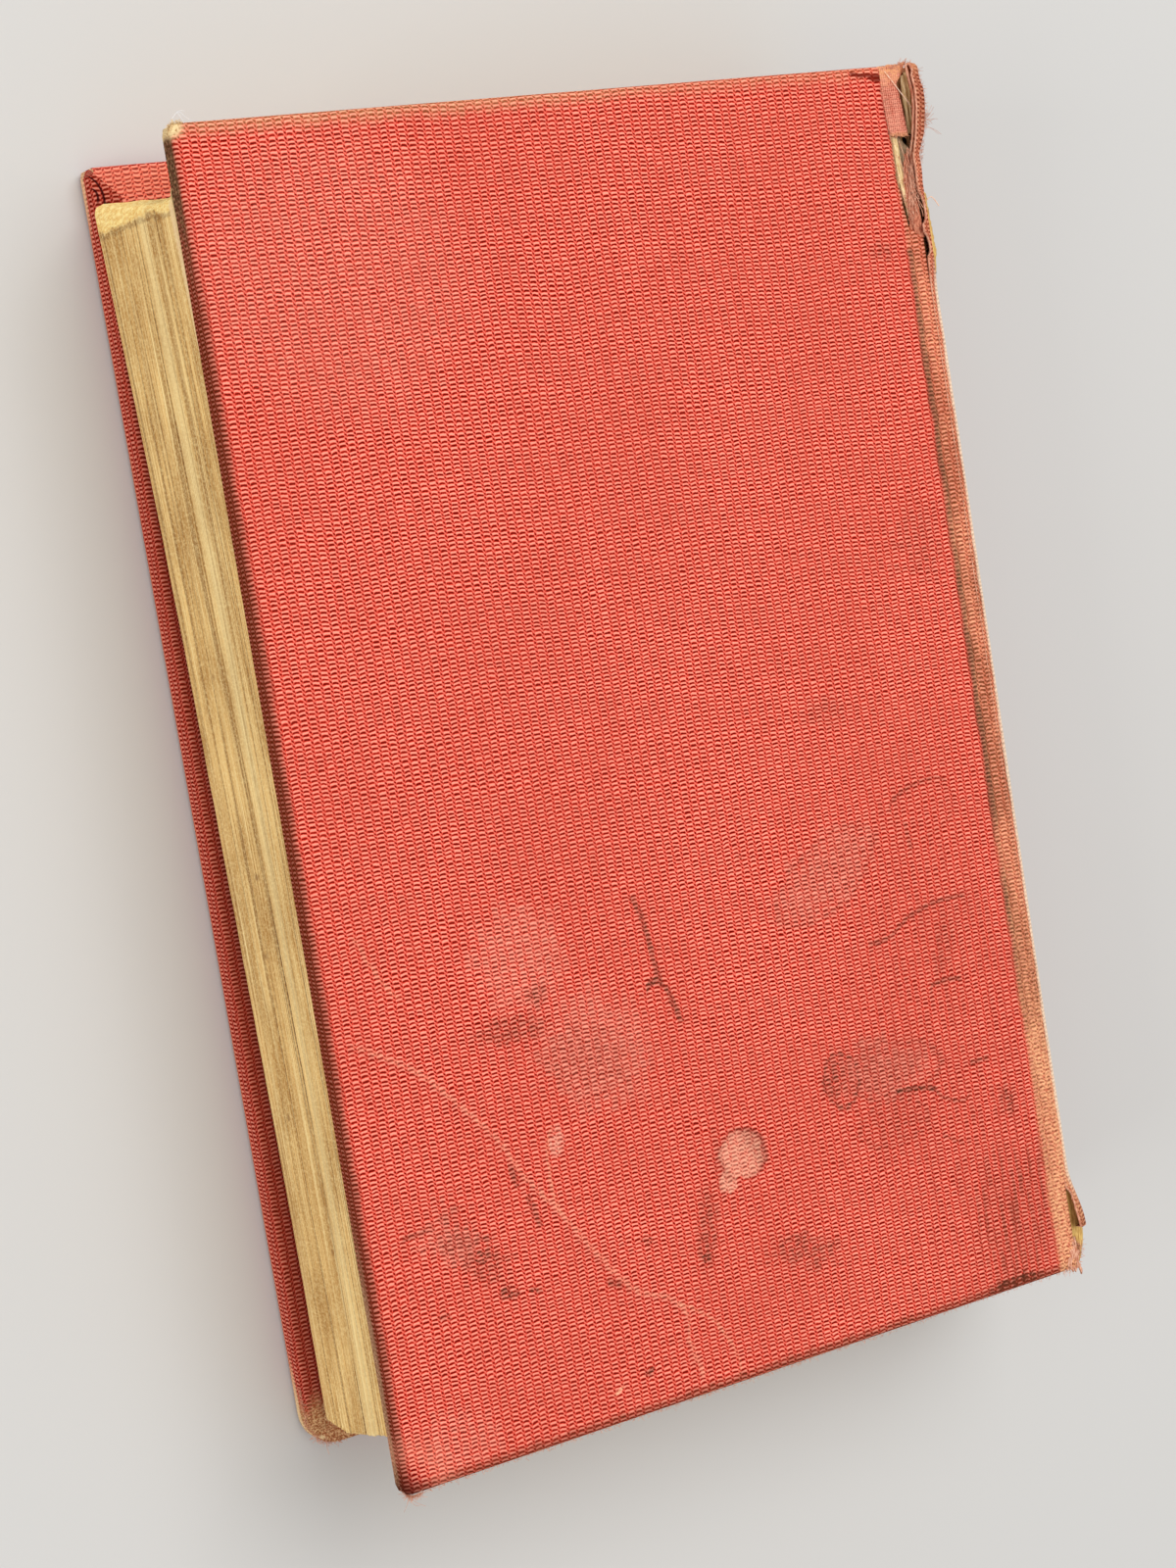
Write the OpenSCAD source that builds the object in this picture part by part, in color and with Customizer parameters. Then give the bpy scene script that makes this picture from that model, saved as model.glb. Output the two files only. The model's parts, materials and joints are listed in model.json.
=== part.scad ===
// Hardback book, lying on its front cover with the rear cover up.
// +Y points to the head of the book, -Y to the tail.
// The spine is on the +X side and the fore-edge on the -X side.
// Lengths are in millimetres.

/* [Case] */
// Height of a cover from head to tail
case_h = 190; // [160:1:220]
// Width of a cover from its fore-edge to its edge along the joint
cover_w = 117.5; // [100:0.5:150]
// Thickness of the whole closed book
book_t = 35.8; // [28:0.1:50]
// Thickness of a cover board
board_t = 2.9; // [1.5:0.1:4]
// Thickness of the covering cloth
cloth_t = 0.4; // [0.2:0.05:0.6]
// Width of the cloth that is turned in over the inside of a board
turn_in_w = 15; // [8:0.5:25]
// Radius of the worn corners at the head of both covers
head_corner_r = 1.2; // [1:0.1:6]
// Radius of the worn corner at the tail of the front cover
front_tail_corner_r = 5; // [1:0.1:8]
// Radius of the worn corner at the tail of the rear cover
rear_tail_corner_r = 3; // [1:0.1:8]
// Thickness of the paper pasted down inside a cover
pastedown_t = 0.2; // [0.1:0.05:0.4]
// Width of the turned-in cloth that shows round a pastedown
pastedown_margin = 4.5; // [2:0.1:7]

/* [Joint and spine] */
// Width of the bare cloth between a board and its hinge line
joint_w = 2; // [1.5:0.1:4]
// Radius of the shoulder that the cloth turns over, at its outer face
shoulder_r = 3; // [2.8:0.1:5]
// How far the rounded back stands out past the shoulders
spine_round = 3.7; // [1:0.1:5]
// Thickness of the card strip that stiffens the spine cloth
inlay_t = 0.5; // [0.3:0.05:0.8]
// Length of the cloth that is turned in at each end of the spine
spine_turn_in_l = 12; // [6:0.5:20]
// Thickness of the paper lining on the back of the sections
lining_t = 0.3; // [0.2:0.05:0.4]
// Thickness of the open gauze glued to the back of the sections
mull_t = 0.3; // [0.2:0.05:0.4]

/* [Pages] */
// Distance from the head of a cover to the head of the pages
head_square = 5.5; // [2:0.1:8]
// Distance from the tail of the pages to the tail of a cover
tail_square = 5; // [2:0.1:8]
// Set-back of the pages from the cover's fore-edge, at the head
recess_head = 0.2; // [0.1:0.1:6]
// Set-back of the pages from the cover's fore-edge, at the tail
recess_tail = 3.4; // [0.1:0.1:8]
// Radius of the rounded page corner at the head
page_corner_r = 3.5; // [1:0.1:8]
// Thickness of a free endpaper leaf
flyleaf_t = 0.25; // [0.1:0.05:0.5]

/* [Wear] */
// Length of the split in the rear joint, down from the head
head_split_l = 30; // [5:1:60]
// Width of that split at the head, on the spine's side of the hinge line
head_split_w = 2.2; // [0.5:0.1:2.5]
// Length of the cloth torn away beside the rear board, down from the head
head_tear_l = 25; // [5:1:60]
// Length of the split in the rear joint near the tail
tail_split_l = 11; // [4:1:30]
// Width of the split near the tail
tail_split_w = 1.6; // [0.5:0.1:2.5]
// Distance from the tail of the cover to the split near it
tail_split_gap = 2; // [1:0.5:10]

/* [Fit] */
// Clearance between the pages and a cover
leaf_gap = 0.3; // [0.1:0.05:0.8]
// Clearance on each side of a hinge line
hinge_gap = 0.1; // [0.05:0.01:0.3]
// Hollow between the spine's turned-in cloth and the lining on the pages
hollow_gap = 0.3; // [0.1:0.05:0.6]
// Distance from a board's edge to the shoulder that swells out beside it
shoulder_gap = 0.6; // [0.3:0.05:1.2]

/* [Hidden] */

cloth_red = [0.80, 0.36, 0.31];
page_tan = [0.80, 0.66, 0.43];
paste_tan = [0.85, 0.72, 0.46];
board_grey = [0.55, 0.50, 0.42];
card_brown = [0.60, 0.46, 0.31];
gauze_cream = [0.83, 0.74, 0.52];

arc_steps = 10;          // straight pieces in a small arc
back_steps = 24;         // straight pieces across the rounded back
edge_steps = 14;         // straight pieces along the fore-edge of the pages
cut = 1;                 // how far a cutting shape runs past what it cuts

head_y = case_h / 2;
tail_y = -case_h / 2;
cover_t = cloth_t + board_t + cloth_t + pastedown_t;
hinge_x = cover_w + joint_w;
page_head_y = head_y - head_square;
page_tail_y = tail_y + tail_square;
page_h = page_head_y - page_tail_y;
page_mid_y = (page_head_y + page_tail_y) / 2;
leaf_z = cover_t + leaf_gap;
page_z = leaf_z + flyleaf_t;

// The back is one large arc between two shoulder arcs, all with common tangents
back_half = book_t / 2 - shoulder_r;
back_angle = 2 * atan(spine_round / back_half);
back_reach = back_half / sin(back_angle);
back_r = back_reach + shoulder_r;
back_x = hinge_x - back_reach * cos(back_angle);
spine_x = back_x + back_r;

// Depths of the spine's layers below the outer face of its cloth
inlay_in = cloth_t;
turned_in = inlay_in + inlay_t;
lining_in = turned_in + cloth_t + hollow_gap;
mull_in = lining_in + lining_t;
sections_in = mull_in + mull_t;

// The first of the spine cloth clears the hinge line
cloth_start_angle = acos(hinge_gap / (shoulder_r - cloth_t));
sheet_end_x = cover_w - shoulder_gap / 2;

function arc(cx, cy, r, from, to, steps) =
    [for (i = [0:steps]) let (a = from + (to - from) * i / steps) [cx + r * cos(a), cy + r * sin(a)]];

// Points in XZ along the back between the shoulders, at a given depth
function back_arc(depth) =
    arc(back_x, book_t / 2, back_r - depth, back_angle, -back_angle, back_steps);

// The same with both shoulders, from the rear one to the front one
function back_curve(depth, start) = concat(
    arc(hinge_x, book_t - shoulder_r, shoulder_r - depth, start, back_angle, arc_steps),
    back_arc(depth),
    arc(hinge_x, shoulder_r, shoulder_r - depth, -back_angle, -start, arc_steps));

function reversed(list) = [for (i = [len(list) - 1:-1:0]) list[i]];

// Outline of a cover in XY, drawn in from its edges, with worn corners on the fore-edge side
function cover_outline(inset, end_x, tail_r) = concat(
    [[end_x, tail_y + inset]],
    arc(tail_r, tail_y + tail_r, tail_r - inset, 270, 180, arc_steps),
    arc(head_corner_r, head_y - head_corner_r, head_corner_r - inset, 180, 90, arc_steps),
    [[end_x, head_y - inset]]);

function recess(t) = recess_head + (recess_tail - recess_head) * (1 - pow(1 - t, 2));

// Outline of the pages in XY, to a given edge on the spine's side
function page_outline(end_x) = let (corner_x = recess(page_corner_r / page_h)) concat(
    [[end_x, page_head_y]],
    arc(corner_x + page_corner_r, page_head_y - page_corner_r, page_corner_r, 90, 180, arc_steps),
    [for (i = [1:edge_steps])
        let (t = page_corner_r / page_h + (1 - page_corner_r / page_h) * i / edge_steps)
        [recess(t), page_head_y - t * page_h]],
    [[end_x, page_tail_y]]);

// Puts the part's origin at the middle of its underside
module placed() {
    translate([-spine_x / 2, 0, 0]) children();
}

// Extrudes an XZ outline along Y, centred between head and tail
module along_y(points, length) {
    rotate([90, 0, 0]) linear_extrude(height = length, center = true) polygon(points);
}

module flat_shape(points, z, thickness) {
    translate([0, 0, z]) linear_extrude(height = thickness) polygon(points);
}

// A layer over the back and both shoulders
module shoulder_layer(depth, thickness, start, length) {
    along_y(concat(back_curve(depth, start), reversed(back_curve(depth + thickness, start))), length);
}

// A layer over the back alone
module back_layer(depth, thickness, length) {
    along_y(concat(back_arc(depth), reversed(back_arc(depth + thickness))), length);
}

// Turns a shape drawn for the cover at the bottom into one for the cover on top
module top_side() {
    translate([0, 0, book_t]) mirror([0, 0, 1]) children();
}

// The sewn sections: flat sides, swollen shoulders and a rounded back
module text_block() {
    flare_x = cover_w + shoulder_gap;
    section = concat(
        [[0, page_z], [0, book_t - page_z], [flare_x, book_t - page_z]],
        back_curve(sections_in, 90),
        [[flare_x, page_z]]);
    color(page_tan) placed() intersection() {
        along_y(section, case_h);
        flat_shape(page_outline(spine_x), 0, book_t);
    }
}

module flyleaf_solid() {
    flat_shape(page_outline(sheet_end_x), leaf_z, flyleaf_t);
}

module front_flyleaf() {
    color(paste_tan) placed() flyleaf_solid();
}

module rear_flyleaf() {
    color(paste_tan) placed() top_side() flyleaf_solid();
}

module mull() {
    color(gauze_cream) placed() translate([0, page_mid_y, 0])
        shoulder_layer(mull_in, mull_t, 90, page_h);
}

module spine_lining() {
    color(card_brown) placed() translate([0, page_mid_y, 0])
        shoulder_layer(lining_in, lining_t, 90, page_h);
}

module spine_inlay() {
    color(card_brown) placed() back_layer(inlay_in, inlay_t, case_h - 2 * cloth_t);
}

// Cloth over the spine, with its ends turned in round the card strip
module spine_cloth() {
    color(cloth_red) placed() difference() {
        union() {
            shoulder_layer(0, cloth_t, cloth_start_angle, case_h);
            for (end = [-1, 1]) {
                translate([0, end * (case_h - spine_turn_in_l) / 2, 0])
                    back_layer(turned_in, cloth_t, spine_turn_in_l);
                translate([0, end * (case_h - cloth_t) / 2, 0])
                    back_layer(inlay_in, inlay_t, cloth_t);
            }
        }
        head_split();
        tail_split();
    }
}

// Torn gap in the rear joint, widest at the head
module head_split() {
    left = hinge_x - cut;
    flat_shape([
        [left, head_y + cut], [hinge_x + head_split_w, head_y + cut],
        [hinge_x + head_split_w, head_y - head_split_l * 0.35],
        [hinge_x + head_split_w * 0.7, head_y - head_split_l * 0.75],
        [left, head_y - head_split_l]], book_t - shoulder_r, shoulder_r + cut);
}

// Torn gap in the rear joint near the tail
module tail_split() {
    left = hinge_x - cut;
    low = tail_y + tail_split_gap;
    flat_shape([
        [left, low], [hinge_x + tail_split_w, low + tail_split_l * 0.3],
        [hinge_x + tail_split_w, low + tail_split_l * 0.7],
        [left, low + tail_split_l]], book_t - shoulder_r, shoulder_r + cut);
}

module board_solid(tail_r) {
    flat_shape(cover_outline(cloth_t, cover_w, tail_r), cloth_t, board_t);
}

// Cloth over a board: outer sheet, edges and the turned-in margin on the inside
module cloth_solid(tail_r) {
    difference() {
        union() {
            flat_shape(cover_outline(0, hinge_x - hinge_gap, tail_r), 0, cloth_t);
            flat_shape(cover_outline(0, cover_w, tail_r), 0, cloth_t + board_t + cloth_t);
        }
        flat_shape(cover_outline(cloth_t, cover_w + cut, tail_r), cloth_t, board_t);
        translate([turn_in_w, tail_y + turn_in_w, cloth_t])
            cube([cover_w, case_h - 2 * turn_in_w, board_t + cloth_t + cut]);
    }
}

// Paper inside a cover: it dips from the turned-in cloth to the bare board
module pastedown_solid() {
    inner_z = cloth_t + board_t;
    step = cloth_t + pastedown_t;
    low = tail_y + pastedown_margin;
    high = head_y - pastedown_margin;
    translate([pastedown_margin, low, inner_z]) difference() {
        cube([sheet_end_x - pastedown_margin, high - low, step]);
        // Under the rim lies the turned-in cloth
        translate([-cut, -cut, -cut]) difference() {
            cube([cover_w + 2 * cut, high - low + 2 * cut, cloth_t + cut]);
            translate([turn_in_w - pastedown_margin + cut, turn_in_w - pastedown_margin + cut, 0])
                cube([cover_w + 2 * cut, case_h - 2 * turn_in_w, step + cut]);
        }
        // Inside the turned-in cloth the paper is thin again
        translate([turn_in_w - pastedown_margin + pastedown_t, turn_in_w - pastedown_margin + pastedown_t,
                   pastedown_t])
            cube([cover_w, case_h - 2 * (turn_in_w + pastedown_t), step]);
    }
}

module front_board() {
    color(board_grey) placed() board_solid(front_tail_corner_r);
}

module front_cloth() {
    color(cloth_red) placed() cloth_solid(front_tail_corner_r);
}

module front_pastedown() {
    color(paste_tan) placed() pastedown_solid();
}

module rear_board() {
    color(board_grey) placed() top_side() board_solid(rear_tail_corner_r);
}

// The cloth beside the rear joint is torn away at the head
module rear_cloth() {
    color(cloth_red) placed() difference() {
        top_side() cloth_solid(rear_tail_corner_r);
        flat_shape([
            [cover_w + joint_w * 0.1, head_y + cut], [hinge_x + cut, head_y + cut],
            [hinge_x + cut, head_y - head_tear_l], [cover_w + joint_w * 0.75, head_y - head_tear_l],
            [cover_w + joint_w * 0.5, head_y - head_tear_l * 0.5]], book_t - shoulder_r, shoulder_r + cut);
    }
}

module rear_pastedown() {
    color(paste_tan) placed() top_side() pastedown_solid();
}

text_block();
front_flyleaf();
rear_flyleaf();
mull();
spine_lining();
spine_inlay();
spine_cloth();
front_board();
front_cloth();
front_pastedown();
rear_board();
rear_cloth();
rear_pastedown();
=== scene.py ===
# Worn hardback book in red bead-grained cloth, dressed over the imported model.
# Shapes are worked out in millimetres: x from the fore-edge of the covers to the spine,
# y up to the head, z from the outside of the front cover to the outside of the rear one.
import json
import math
import random

import bmesh
import bpy
from mathutils import Matrix, Vector, noise


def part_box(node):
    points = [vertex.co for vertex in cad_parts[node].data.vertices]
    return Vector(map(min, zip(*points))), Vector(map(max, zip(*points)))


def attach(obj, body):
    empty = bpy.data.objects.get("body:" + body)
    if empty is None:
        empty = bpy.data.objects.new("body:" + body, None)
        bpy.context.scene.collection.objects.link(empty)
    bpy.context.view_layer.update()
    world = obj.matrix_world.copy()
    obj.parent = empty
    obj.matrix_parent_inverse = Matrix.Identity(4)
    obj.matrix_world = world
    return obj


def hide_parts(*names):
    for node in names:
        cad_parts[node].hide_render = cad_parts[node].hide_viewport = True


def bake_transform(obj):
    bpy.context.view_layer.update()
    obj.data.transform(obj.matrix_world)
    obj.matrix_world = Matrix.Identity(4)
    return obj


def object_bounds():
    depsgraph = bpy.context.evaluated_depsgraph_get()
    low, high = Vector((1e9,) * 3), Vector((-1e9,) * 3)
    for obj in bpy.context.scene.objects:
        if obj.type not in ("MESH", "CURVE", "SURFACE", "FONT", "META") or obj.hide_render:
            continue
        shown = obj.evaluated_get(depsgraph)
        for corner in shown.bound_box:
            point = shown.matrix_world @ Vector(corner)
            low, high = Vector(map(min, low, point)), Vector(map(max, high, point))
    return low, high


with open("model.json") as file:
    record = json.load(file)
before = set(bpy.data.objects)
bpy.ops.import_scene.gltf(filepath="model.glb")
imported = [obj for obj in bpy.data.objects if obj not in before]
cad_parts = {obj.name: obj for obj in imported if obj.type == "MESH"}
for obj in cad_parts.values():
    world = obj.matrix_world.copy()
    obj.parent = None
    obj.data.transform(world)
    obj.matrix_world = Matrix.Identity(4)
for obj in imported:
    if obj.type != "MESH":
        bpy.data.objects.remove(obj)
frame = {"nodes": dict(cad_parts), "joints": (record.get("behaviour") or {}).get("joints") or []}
cadLow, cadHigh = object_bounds()
mm = 0.001
print("frame loaded")


def nodeBox(node):
    # lowest and highest corner of a node, in the book's own millimetres
    low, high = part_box(node)
    start = Vector((cadLow.x, 0, 0))
    return (low - start) / mm, (high - start) / mm


boardLow, boardHigh = nodeBox("front_board")
pageLow, pageHigh = nodeBox("text_block")
leafLow, leafHigh = nodeBox("front_flyleaf")
rearJoint = next(joint for joint in frame["joints"] if joint["name"] == "rear_joint")

book = {
    "head": cadHigh.y / mm,
    "tail": cadLow.y / mm,
    "thick": cadHigh.z / mm,
    "spine": (cadHigh.x - cadLow.x) / mm,
    "boardEnd": boardHigh.x,
    "hinge": (rearJoint["pos_m"][0] - cadLow.x) / mm,
    "cloth": boardLow.z,
    "board": boardHigh.z - boardLow.z,
    "leafZ": leafHigh.z,
    "pageHead": pageHigh.y,
    "pageTail": pageLow.y,
    "headCorner": 0.95,
    "frontTailCorner": 5.0,
    "shoulder": 3.0,
    "sectionsIn": 2.2,
}
book["wrapDepth"] = book["cloth"] * 2 + book["board"]
book["middle"] = book["thick"] / 2
halfBack = book["middle"] - book["shoulder"]
roundOut = book["spine"] - book["hinge"] - book["shoulder"]
backAngle = 2 * math.atan(roundOut / halfBack)
backReach = halfBack / math.sin(backAngle)
backRadius = backReach + book["shoulder"]
backX = book["hinge"] - backReach * math.cos(backAngle)
shoulderRun = book["shoulder"] * (math.pi / 2 - backAngle)
backRun = 2 * backRadius * backAngle
spineRun = 2 * shoulderRun + backRun


def clamp(value, low=0.0, high=1.0):
    return max(low, min(high, value))


def ease(value, start, end):
    # smooth step from 0 at start to 1 at end
    share = clamp((value - start) / (end - start))
    return share * share * (3 - 2 * share)


def between(value, spots):
    # straight lines through given (place, value) pairs
    if value <= spots[0][0]:
        return spots[0][1]
    for (a, low), (b, high) in zip(spots, spots[1:]):
        if value <= b:
            return low + (high - low) * (value - a) / (b - a)
    return spots[-1][1]


def drift(x, y, z=0.0):
    # smooth repeatable roughness between about -1 and 1
    return noise.noise(Vector((x, y, z)))


def backPoint(run, depth):
    # place on the back, run measured along the cloth from the rear hinge line
    if run < shoulderRun:
        angle = math.pi / 2 - run / book["shoulder"]
        centre, radius = (book["hinge"], book["thick"] - book["shoulder"]), book["shoulder"]
    elif run < shoulderRun + backRun:
        angle = backAngle - (run - shoulderRun) / backRadius
        centre, radius = (backX, book["middle"]), backRadius
    else:
        angle = -backAngle - (run - shoulderRun - backRun) / book["shoulder"]
        centre, radius = (book["hinge"], book["shoulder"]), book["shoulder"]
    reach = radius - depth
    return Vector((centre[0] + reach * math.cos(angle), 0, centre[1] + reach * math.sin(angle)))


def lineSpots(low, high, coarse, fine, places):
    # positions from low to high, closer together near the given places
    spots = [low]
    while spots[-1] < high:
        near = min(abs(spots[-1] - place) for place in places)
        spots.append(spots[-1] + min(coarse, fine + near * 0.16))
    share = (high - low) / (spots[-1] - low)
    return [low + (spot - low) * share for spot in spots]


def gridOn(bm, across, along):
    # a flat grid whose lines lie at the given places
    bmesh.ops.create_grid(bm, x_segments=len(across) - 1, y_segments=len(along) - 1, size=1)
    for vert in bm.verts:
        i = round((vert.co.x + 1) / 2 * (len(across) - 1))
        j = round((vert.co.y + 1) / 2 * (len(along) - 1))
        vert.co = (across[i], along[j], 0)


def grow(bm, ring):
    # extrudes a chain of edges, and gives the new edges and the new points
    grown = bmesh.ops.extrude_edge_only(bm, edges=ring)["geom"]
    edges = [g for g in grown if isinstance(g, bmesh.types.BMEdge)]
    return edges, [g for g in grown if isinstance(g, bmesh.types.BMVert)]


def joinUp(bm):
    bmesh.ops.remove_doubles(bm, verts=bm.verts, dist=0.004)
    bmesh.ops.dissolve_degenerate(bm, edges=bm.edges, dist=0.002)
    bmesh.ops.recalc_face_normals(bm, faces=bm.faces)


def newObject(name, bm, looks, smooth=True):
    # turns a bmesh in book millimetres into an object in the frame
    place = Matrix.Translation((cadLow.x, 0, 0)) @ Matrix.Scale(mm, 4)
    bmesh.ops.transform(bm, matrix=place, verts=bm.verts)
    mesh = bpy.data.meshes.new(name)
    bm.to_mesh(mesh)
    bm.free()
    for polygon in mesh.polygons:
        polygon.use_smooth = smooth
    thing = bpy.data.objects.new(name, mesh)
    bpy.context.scene.collection.objects.link(thing)
    for look in looks:
        mesh.materials.append(look)
    return thing


def writeFlat(bm, layer):
    # the cloth's own flat millimetres become its UV map
    uv = bm.loops.layers.uv.new("cloth")
    for face in bm.faces:
        for loop in face.loops:
            spot = loop.vert[layer]
            loop[uv].uv = (spot.x, spot.y)


def thicken(thing, thickness, rimLook=0):
    wall = thing.modifiers.new("wall", "SOLIDIFY")
    wall.thickness = thickness * mm
    wall.offset = -1
    wall.material_offset_rim = rimLook


# Shader building

class Wire:
    # one output of a node, with arithmetic
    def __init__(self, look, socket):
        self.look = look
        self.socket = socket

    def __add__(self, other):
        return self.look.maths("ADD", self, other)

    def __radd__(self, other):
        return self.look.maths("ADD", other, self)

    def __sub__(self, other):
        return self.look.maths("SUBTRACT", self, other)

    def __rsub__(self, other):
        return self.look.maths("SUBTRACT", other, self)

    def __mul__(self, other):
        return self.look.maths("MULTIPLY", self, other)

    def __rmul__(self, other):
        return self.look.maths("MULTIPLY", other, self)

    def __truediv__(self, other):
        return self.look.maths("DIVIDE", self, other)

    def __abs__(self):
        return self.look.maths("ABSOLUTE", self)


def tint(red, green, blue):
    # a colour as seen on screen, 0 to 255, made linear
    return tuple((c / 255 / 12.92) if c < 11 else ((c / 255 + 0.055) / 1.055) ** 2.4
                 for c in (red, green, blue)) + (1.0,)


class Look:
    # a material and the few kinds of node that these finishes need
    def __init__(self, name):
        self.material = bpy.data.materials.new(name)
        self.material.use_nodes = True
        self.tree = self.material.node_tree
        self.tree.nodes.clear()

    def node(self, kind, settings=None, sockets=None, out=0):
        made = self.tree.nodes.new(kind)
        for key, value in (settings or {}).items():
            if key == "curve":
                line = made.mapping.curves[0]
                line.points[0].location = value[0]
                line.points[1].location = value[-1]
                for spot in value[1:-1]:
                    line.points.new(*spot)
                made.mapping.update()
            else:
                setattr(made, key, value)
        for key, value in (sockets or {}).items():
            if isinstance(value, Wire):
                self.tree.links.new(value.socket, made.inputs[key])
            else:
                made.inputs[key].default_value = value
        return Wire(self, made.outputs[out])

    def maths(self, operation, a, b=0.0):
        return self.node("ShaderNodeMath", {"operation": operation}, {0: a, 1: b})

    def smooth(self, value, start, end, low=0.0, high=1.0):
        return self.node("ShaderNodeMapRange", {"interpolation_type": "SMOOTHSTEP"},
                         {0: value, 1: start, 2: end, 3: low, 4: high})

    def mix(self, share, a, b):
        return self.node("ShaderNodeMix", {"data_type": "RGBA"}, {0: share, 6: a, 7: b}, out=2)

    def grain(self, spot, scale, detail=2.0, rough=0.5):
        return self.node("ShaderNodeTexNoise", {}, {"Vector": spot, "Scale": scale, "Detail": detail,
                                                    "Roughness": rough})

    def vector(self, x, y, z=0.0):
        return self.node("ShaderNodeCombineXYZ", {}, {0: x, 1: y, 2: z})

    def parts(self, spot):
        split = self.node("ShaderNodeSeparateXYZ", {}, {0: spot})
        outs = split.socket.node.outputs
        return Wire(self, outs[0]), Wire(self, outs[1]), Wire(self, outs[2])

    def flecks(self, u, v, scale, low, high, detail=3.0, rough=0.7, tall=None):
        # patches of a noise with soft edges; tall is the scale of v where it isn't that of u
        spot = self.vector(u * scale, v * (tall or scale))
        return self.smooth(self.grain(spot, 1.0, detail, rough), low, high)

    def bump(self, height, depth):
        # depth in millimetres for a height from 0 to 1
        return self.node("ShaderNodeBump", {}, {"Height": height, "Distance": depth * mm, "Strength": 1.0})

    def finish(self, sockets):
        shader = self.node("ShaderNodeBsdfPrincipled", {}, sockets)
        output = self.tree.nodes.new("ShaderNodeOutputMaterial")
        self.tree.links.new(shader.socket, output.inputs["Surface"])
        return self.material

    def bookSpot(self):
        # object coordinates as millimetres: across from the fore-edge, down from the head, up
        place = self.node("ShaderNodeTexCoord", out=3)
        x, y, z = self.parts(place)
        return x / mm - cadLow.x / mm, book["head"] - y / mm, z / mm


# Finishes

bead = {
    "across": 1.41,      # mm from one column of beads to the next
    "along": 0.64,       # mm from one bead to the next in a column
    # the slots' colour is painted shade in the grain's slots and pits
    "slot": (104, 2, 0),
    "body": (230, 52, 36),
    # the crowns' colour is a painted highlight on the tops of the beads
    "crownHighlight": (255, 161, 138),
    "relief": 0.10,      # mm
}


def beadPattern(look, u, v):
    # columns of rounded bars with dark slots between, and a dark pit half way down in each gap
    fine = look.grain(look.vector(u * 5, v * 5), 1.0, 2.0, 0.6)
    bend = look.grain(look.vector(u * 0.5, v * 0.5), 1.0, 1.0)
    column = u / bead["across"] + bend * 0.3
    cell = look.maths("FLOOR", column)
    inside = column - cell
    swing = look.grain(look.vector(u * 0.05, v * 0.05), 1.0, 1.0) * 3.0
    slow = look.grain(look.vector(u * 0.7, v * 0.7), 1.0, 2.0) * 0.8
    off = inside - 0.36
    row = v / bead["along"] + slow + swing - off * off * 0.9
    count = look.maths("FLOOR", row + 0.5)
    chance = look.node("ShaderNodeTexWhiteNoise", {"noise_dimensions": "2D"},
                       {"Vector": look.vector(cell, count)})
    rough = (fine - 0.5) * 0.24
    fromSlot = abs(row - count) * 2 + rough
    slot = look.smooth(fromSlot, 0.0, 0.90, 1.0, 0.0)
    slot = slot * look.smooth(abs(off) + rough * 0.3, 0.24, 0.44, 1.0, 0.0)
    # the pit lies half a row down, between one column and the next
    aside = (inside - 0.86) / 0.19
    below = (look.maths("FRACT", row) - 0.5) / 0.36
    fromPit = look.maths("SQRT", aside * aside + below * below) + rough
    pit = look.smooth(fromPit, 0.0, 1.35, 1.0, 0.0)
    # a faint line runs from each slot down through the pit to the next slot
    sink = look.smooth(inside, 0.62, 1.10) - look.smooth(inside, 0.10, -0.38)
    fromLink = abs(look.maths("FRACT", row - sink + 0.5) - 0.5) * 2
    gap = look.smooth(abs(off), 0.24, 0.44)
    link = look.smooth(fromLink, 0.05, 0.70, 0.62, 0.28) * gap
    dark = look.maths("MAXIMUM", slot * (0.82 + chance * 0.24), look.maths("MAXIMUM", pit, link))
    return dark, cell, fine


def beadColourAndPaintedLight(look, dark):
    # the cloth's red, with a painted highlight on the bead crowns and painted shade in the slots and pits
    colour = look.mix(look.smooth(dark, 0.0, 0.55), tint(*bead["crownHighlight"]), tint(*bead["body"]))
    return look.mix(look.smooth(dark, 0.42, 0.92), colour, tint(*bead["slot"]))


def farFrom(look, place, centre, size, turn):
    # distance from the middle of a turned ellipse, 1 on its outline
    local = look.node("ShaderNodeMapping", {"vector_type": "TEXTURE"},
                      {0: place, 1: (*centre, 0), 2: (0, 0, math.radians(turn)), 3: (*size, 1)})
    return look.node("ShaderNodeVectorMath", {"operation": "LENGTH"}, {0: local}, out=1)


def spotMask(look, place, centre, size, turn=0.0, soft=0.35):
    # 1 inside a turned ellipse, fading out past its edge
    return look.smooth(farFrom(look, place, centre, size, turn), 1 - soft, 1 + soft, 1.0, 0.0)


def ringMask(look, place, centre, size, turn=0.0, wide=0.16):
    # 1 along the outline of a turned ellipse
    return look.smooth(abs(farFrom(look, place, centre, size, turn) - 1.0), 0.0, wide, 1.0, 0.0)


def clothLook(name, wear):
    look = Look(name)
    place = look.node("ShaderNodeUVMap", {"uv_map": "cloth"})
    u, v, _ = look.parts(place)
    dark, cell, fine = beadPattern(look, u, v)
    broad = look.grain(look.vector(u * 0.035, v * 0.03), 1.0, 3.0)
    streak = look.grain(look.vector(cell * 0.9, v * 0.05), 1.0, 2.0)
    colour = beadColourAndPaintedLight(look, dark)
    shade = look.smooth(broad, 0.3, 0.7, 0.0, 0.16) + look.smooth(streak, 0.35, 0.75, 0.0, 0.12)
    colour = look.mix(shade, colour, tint(188, 66, 50))
    height = fine * 0.2 - dark
    colour = wear(look, colour, place, u, v, fine, dark)
    return look.finish({"Base Color": colour, "Roughness": 0.8, "Specular IOR Level": 0.0,
                        "Normal": look.bump(height, bead["relief"])})


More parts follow.
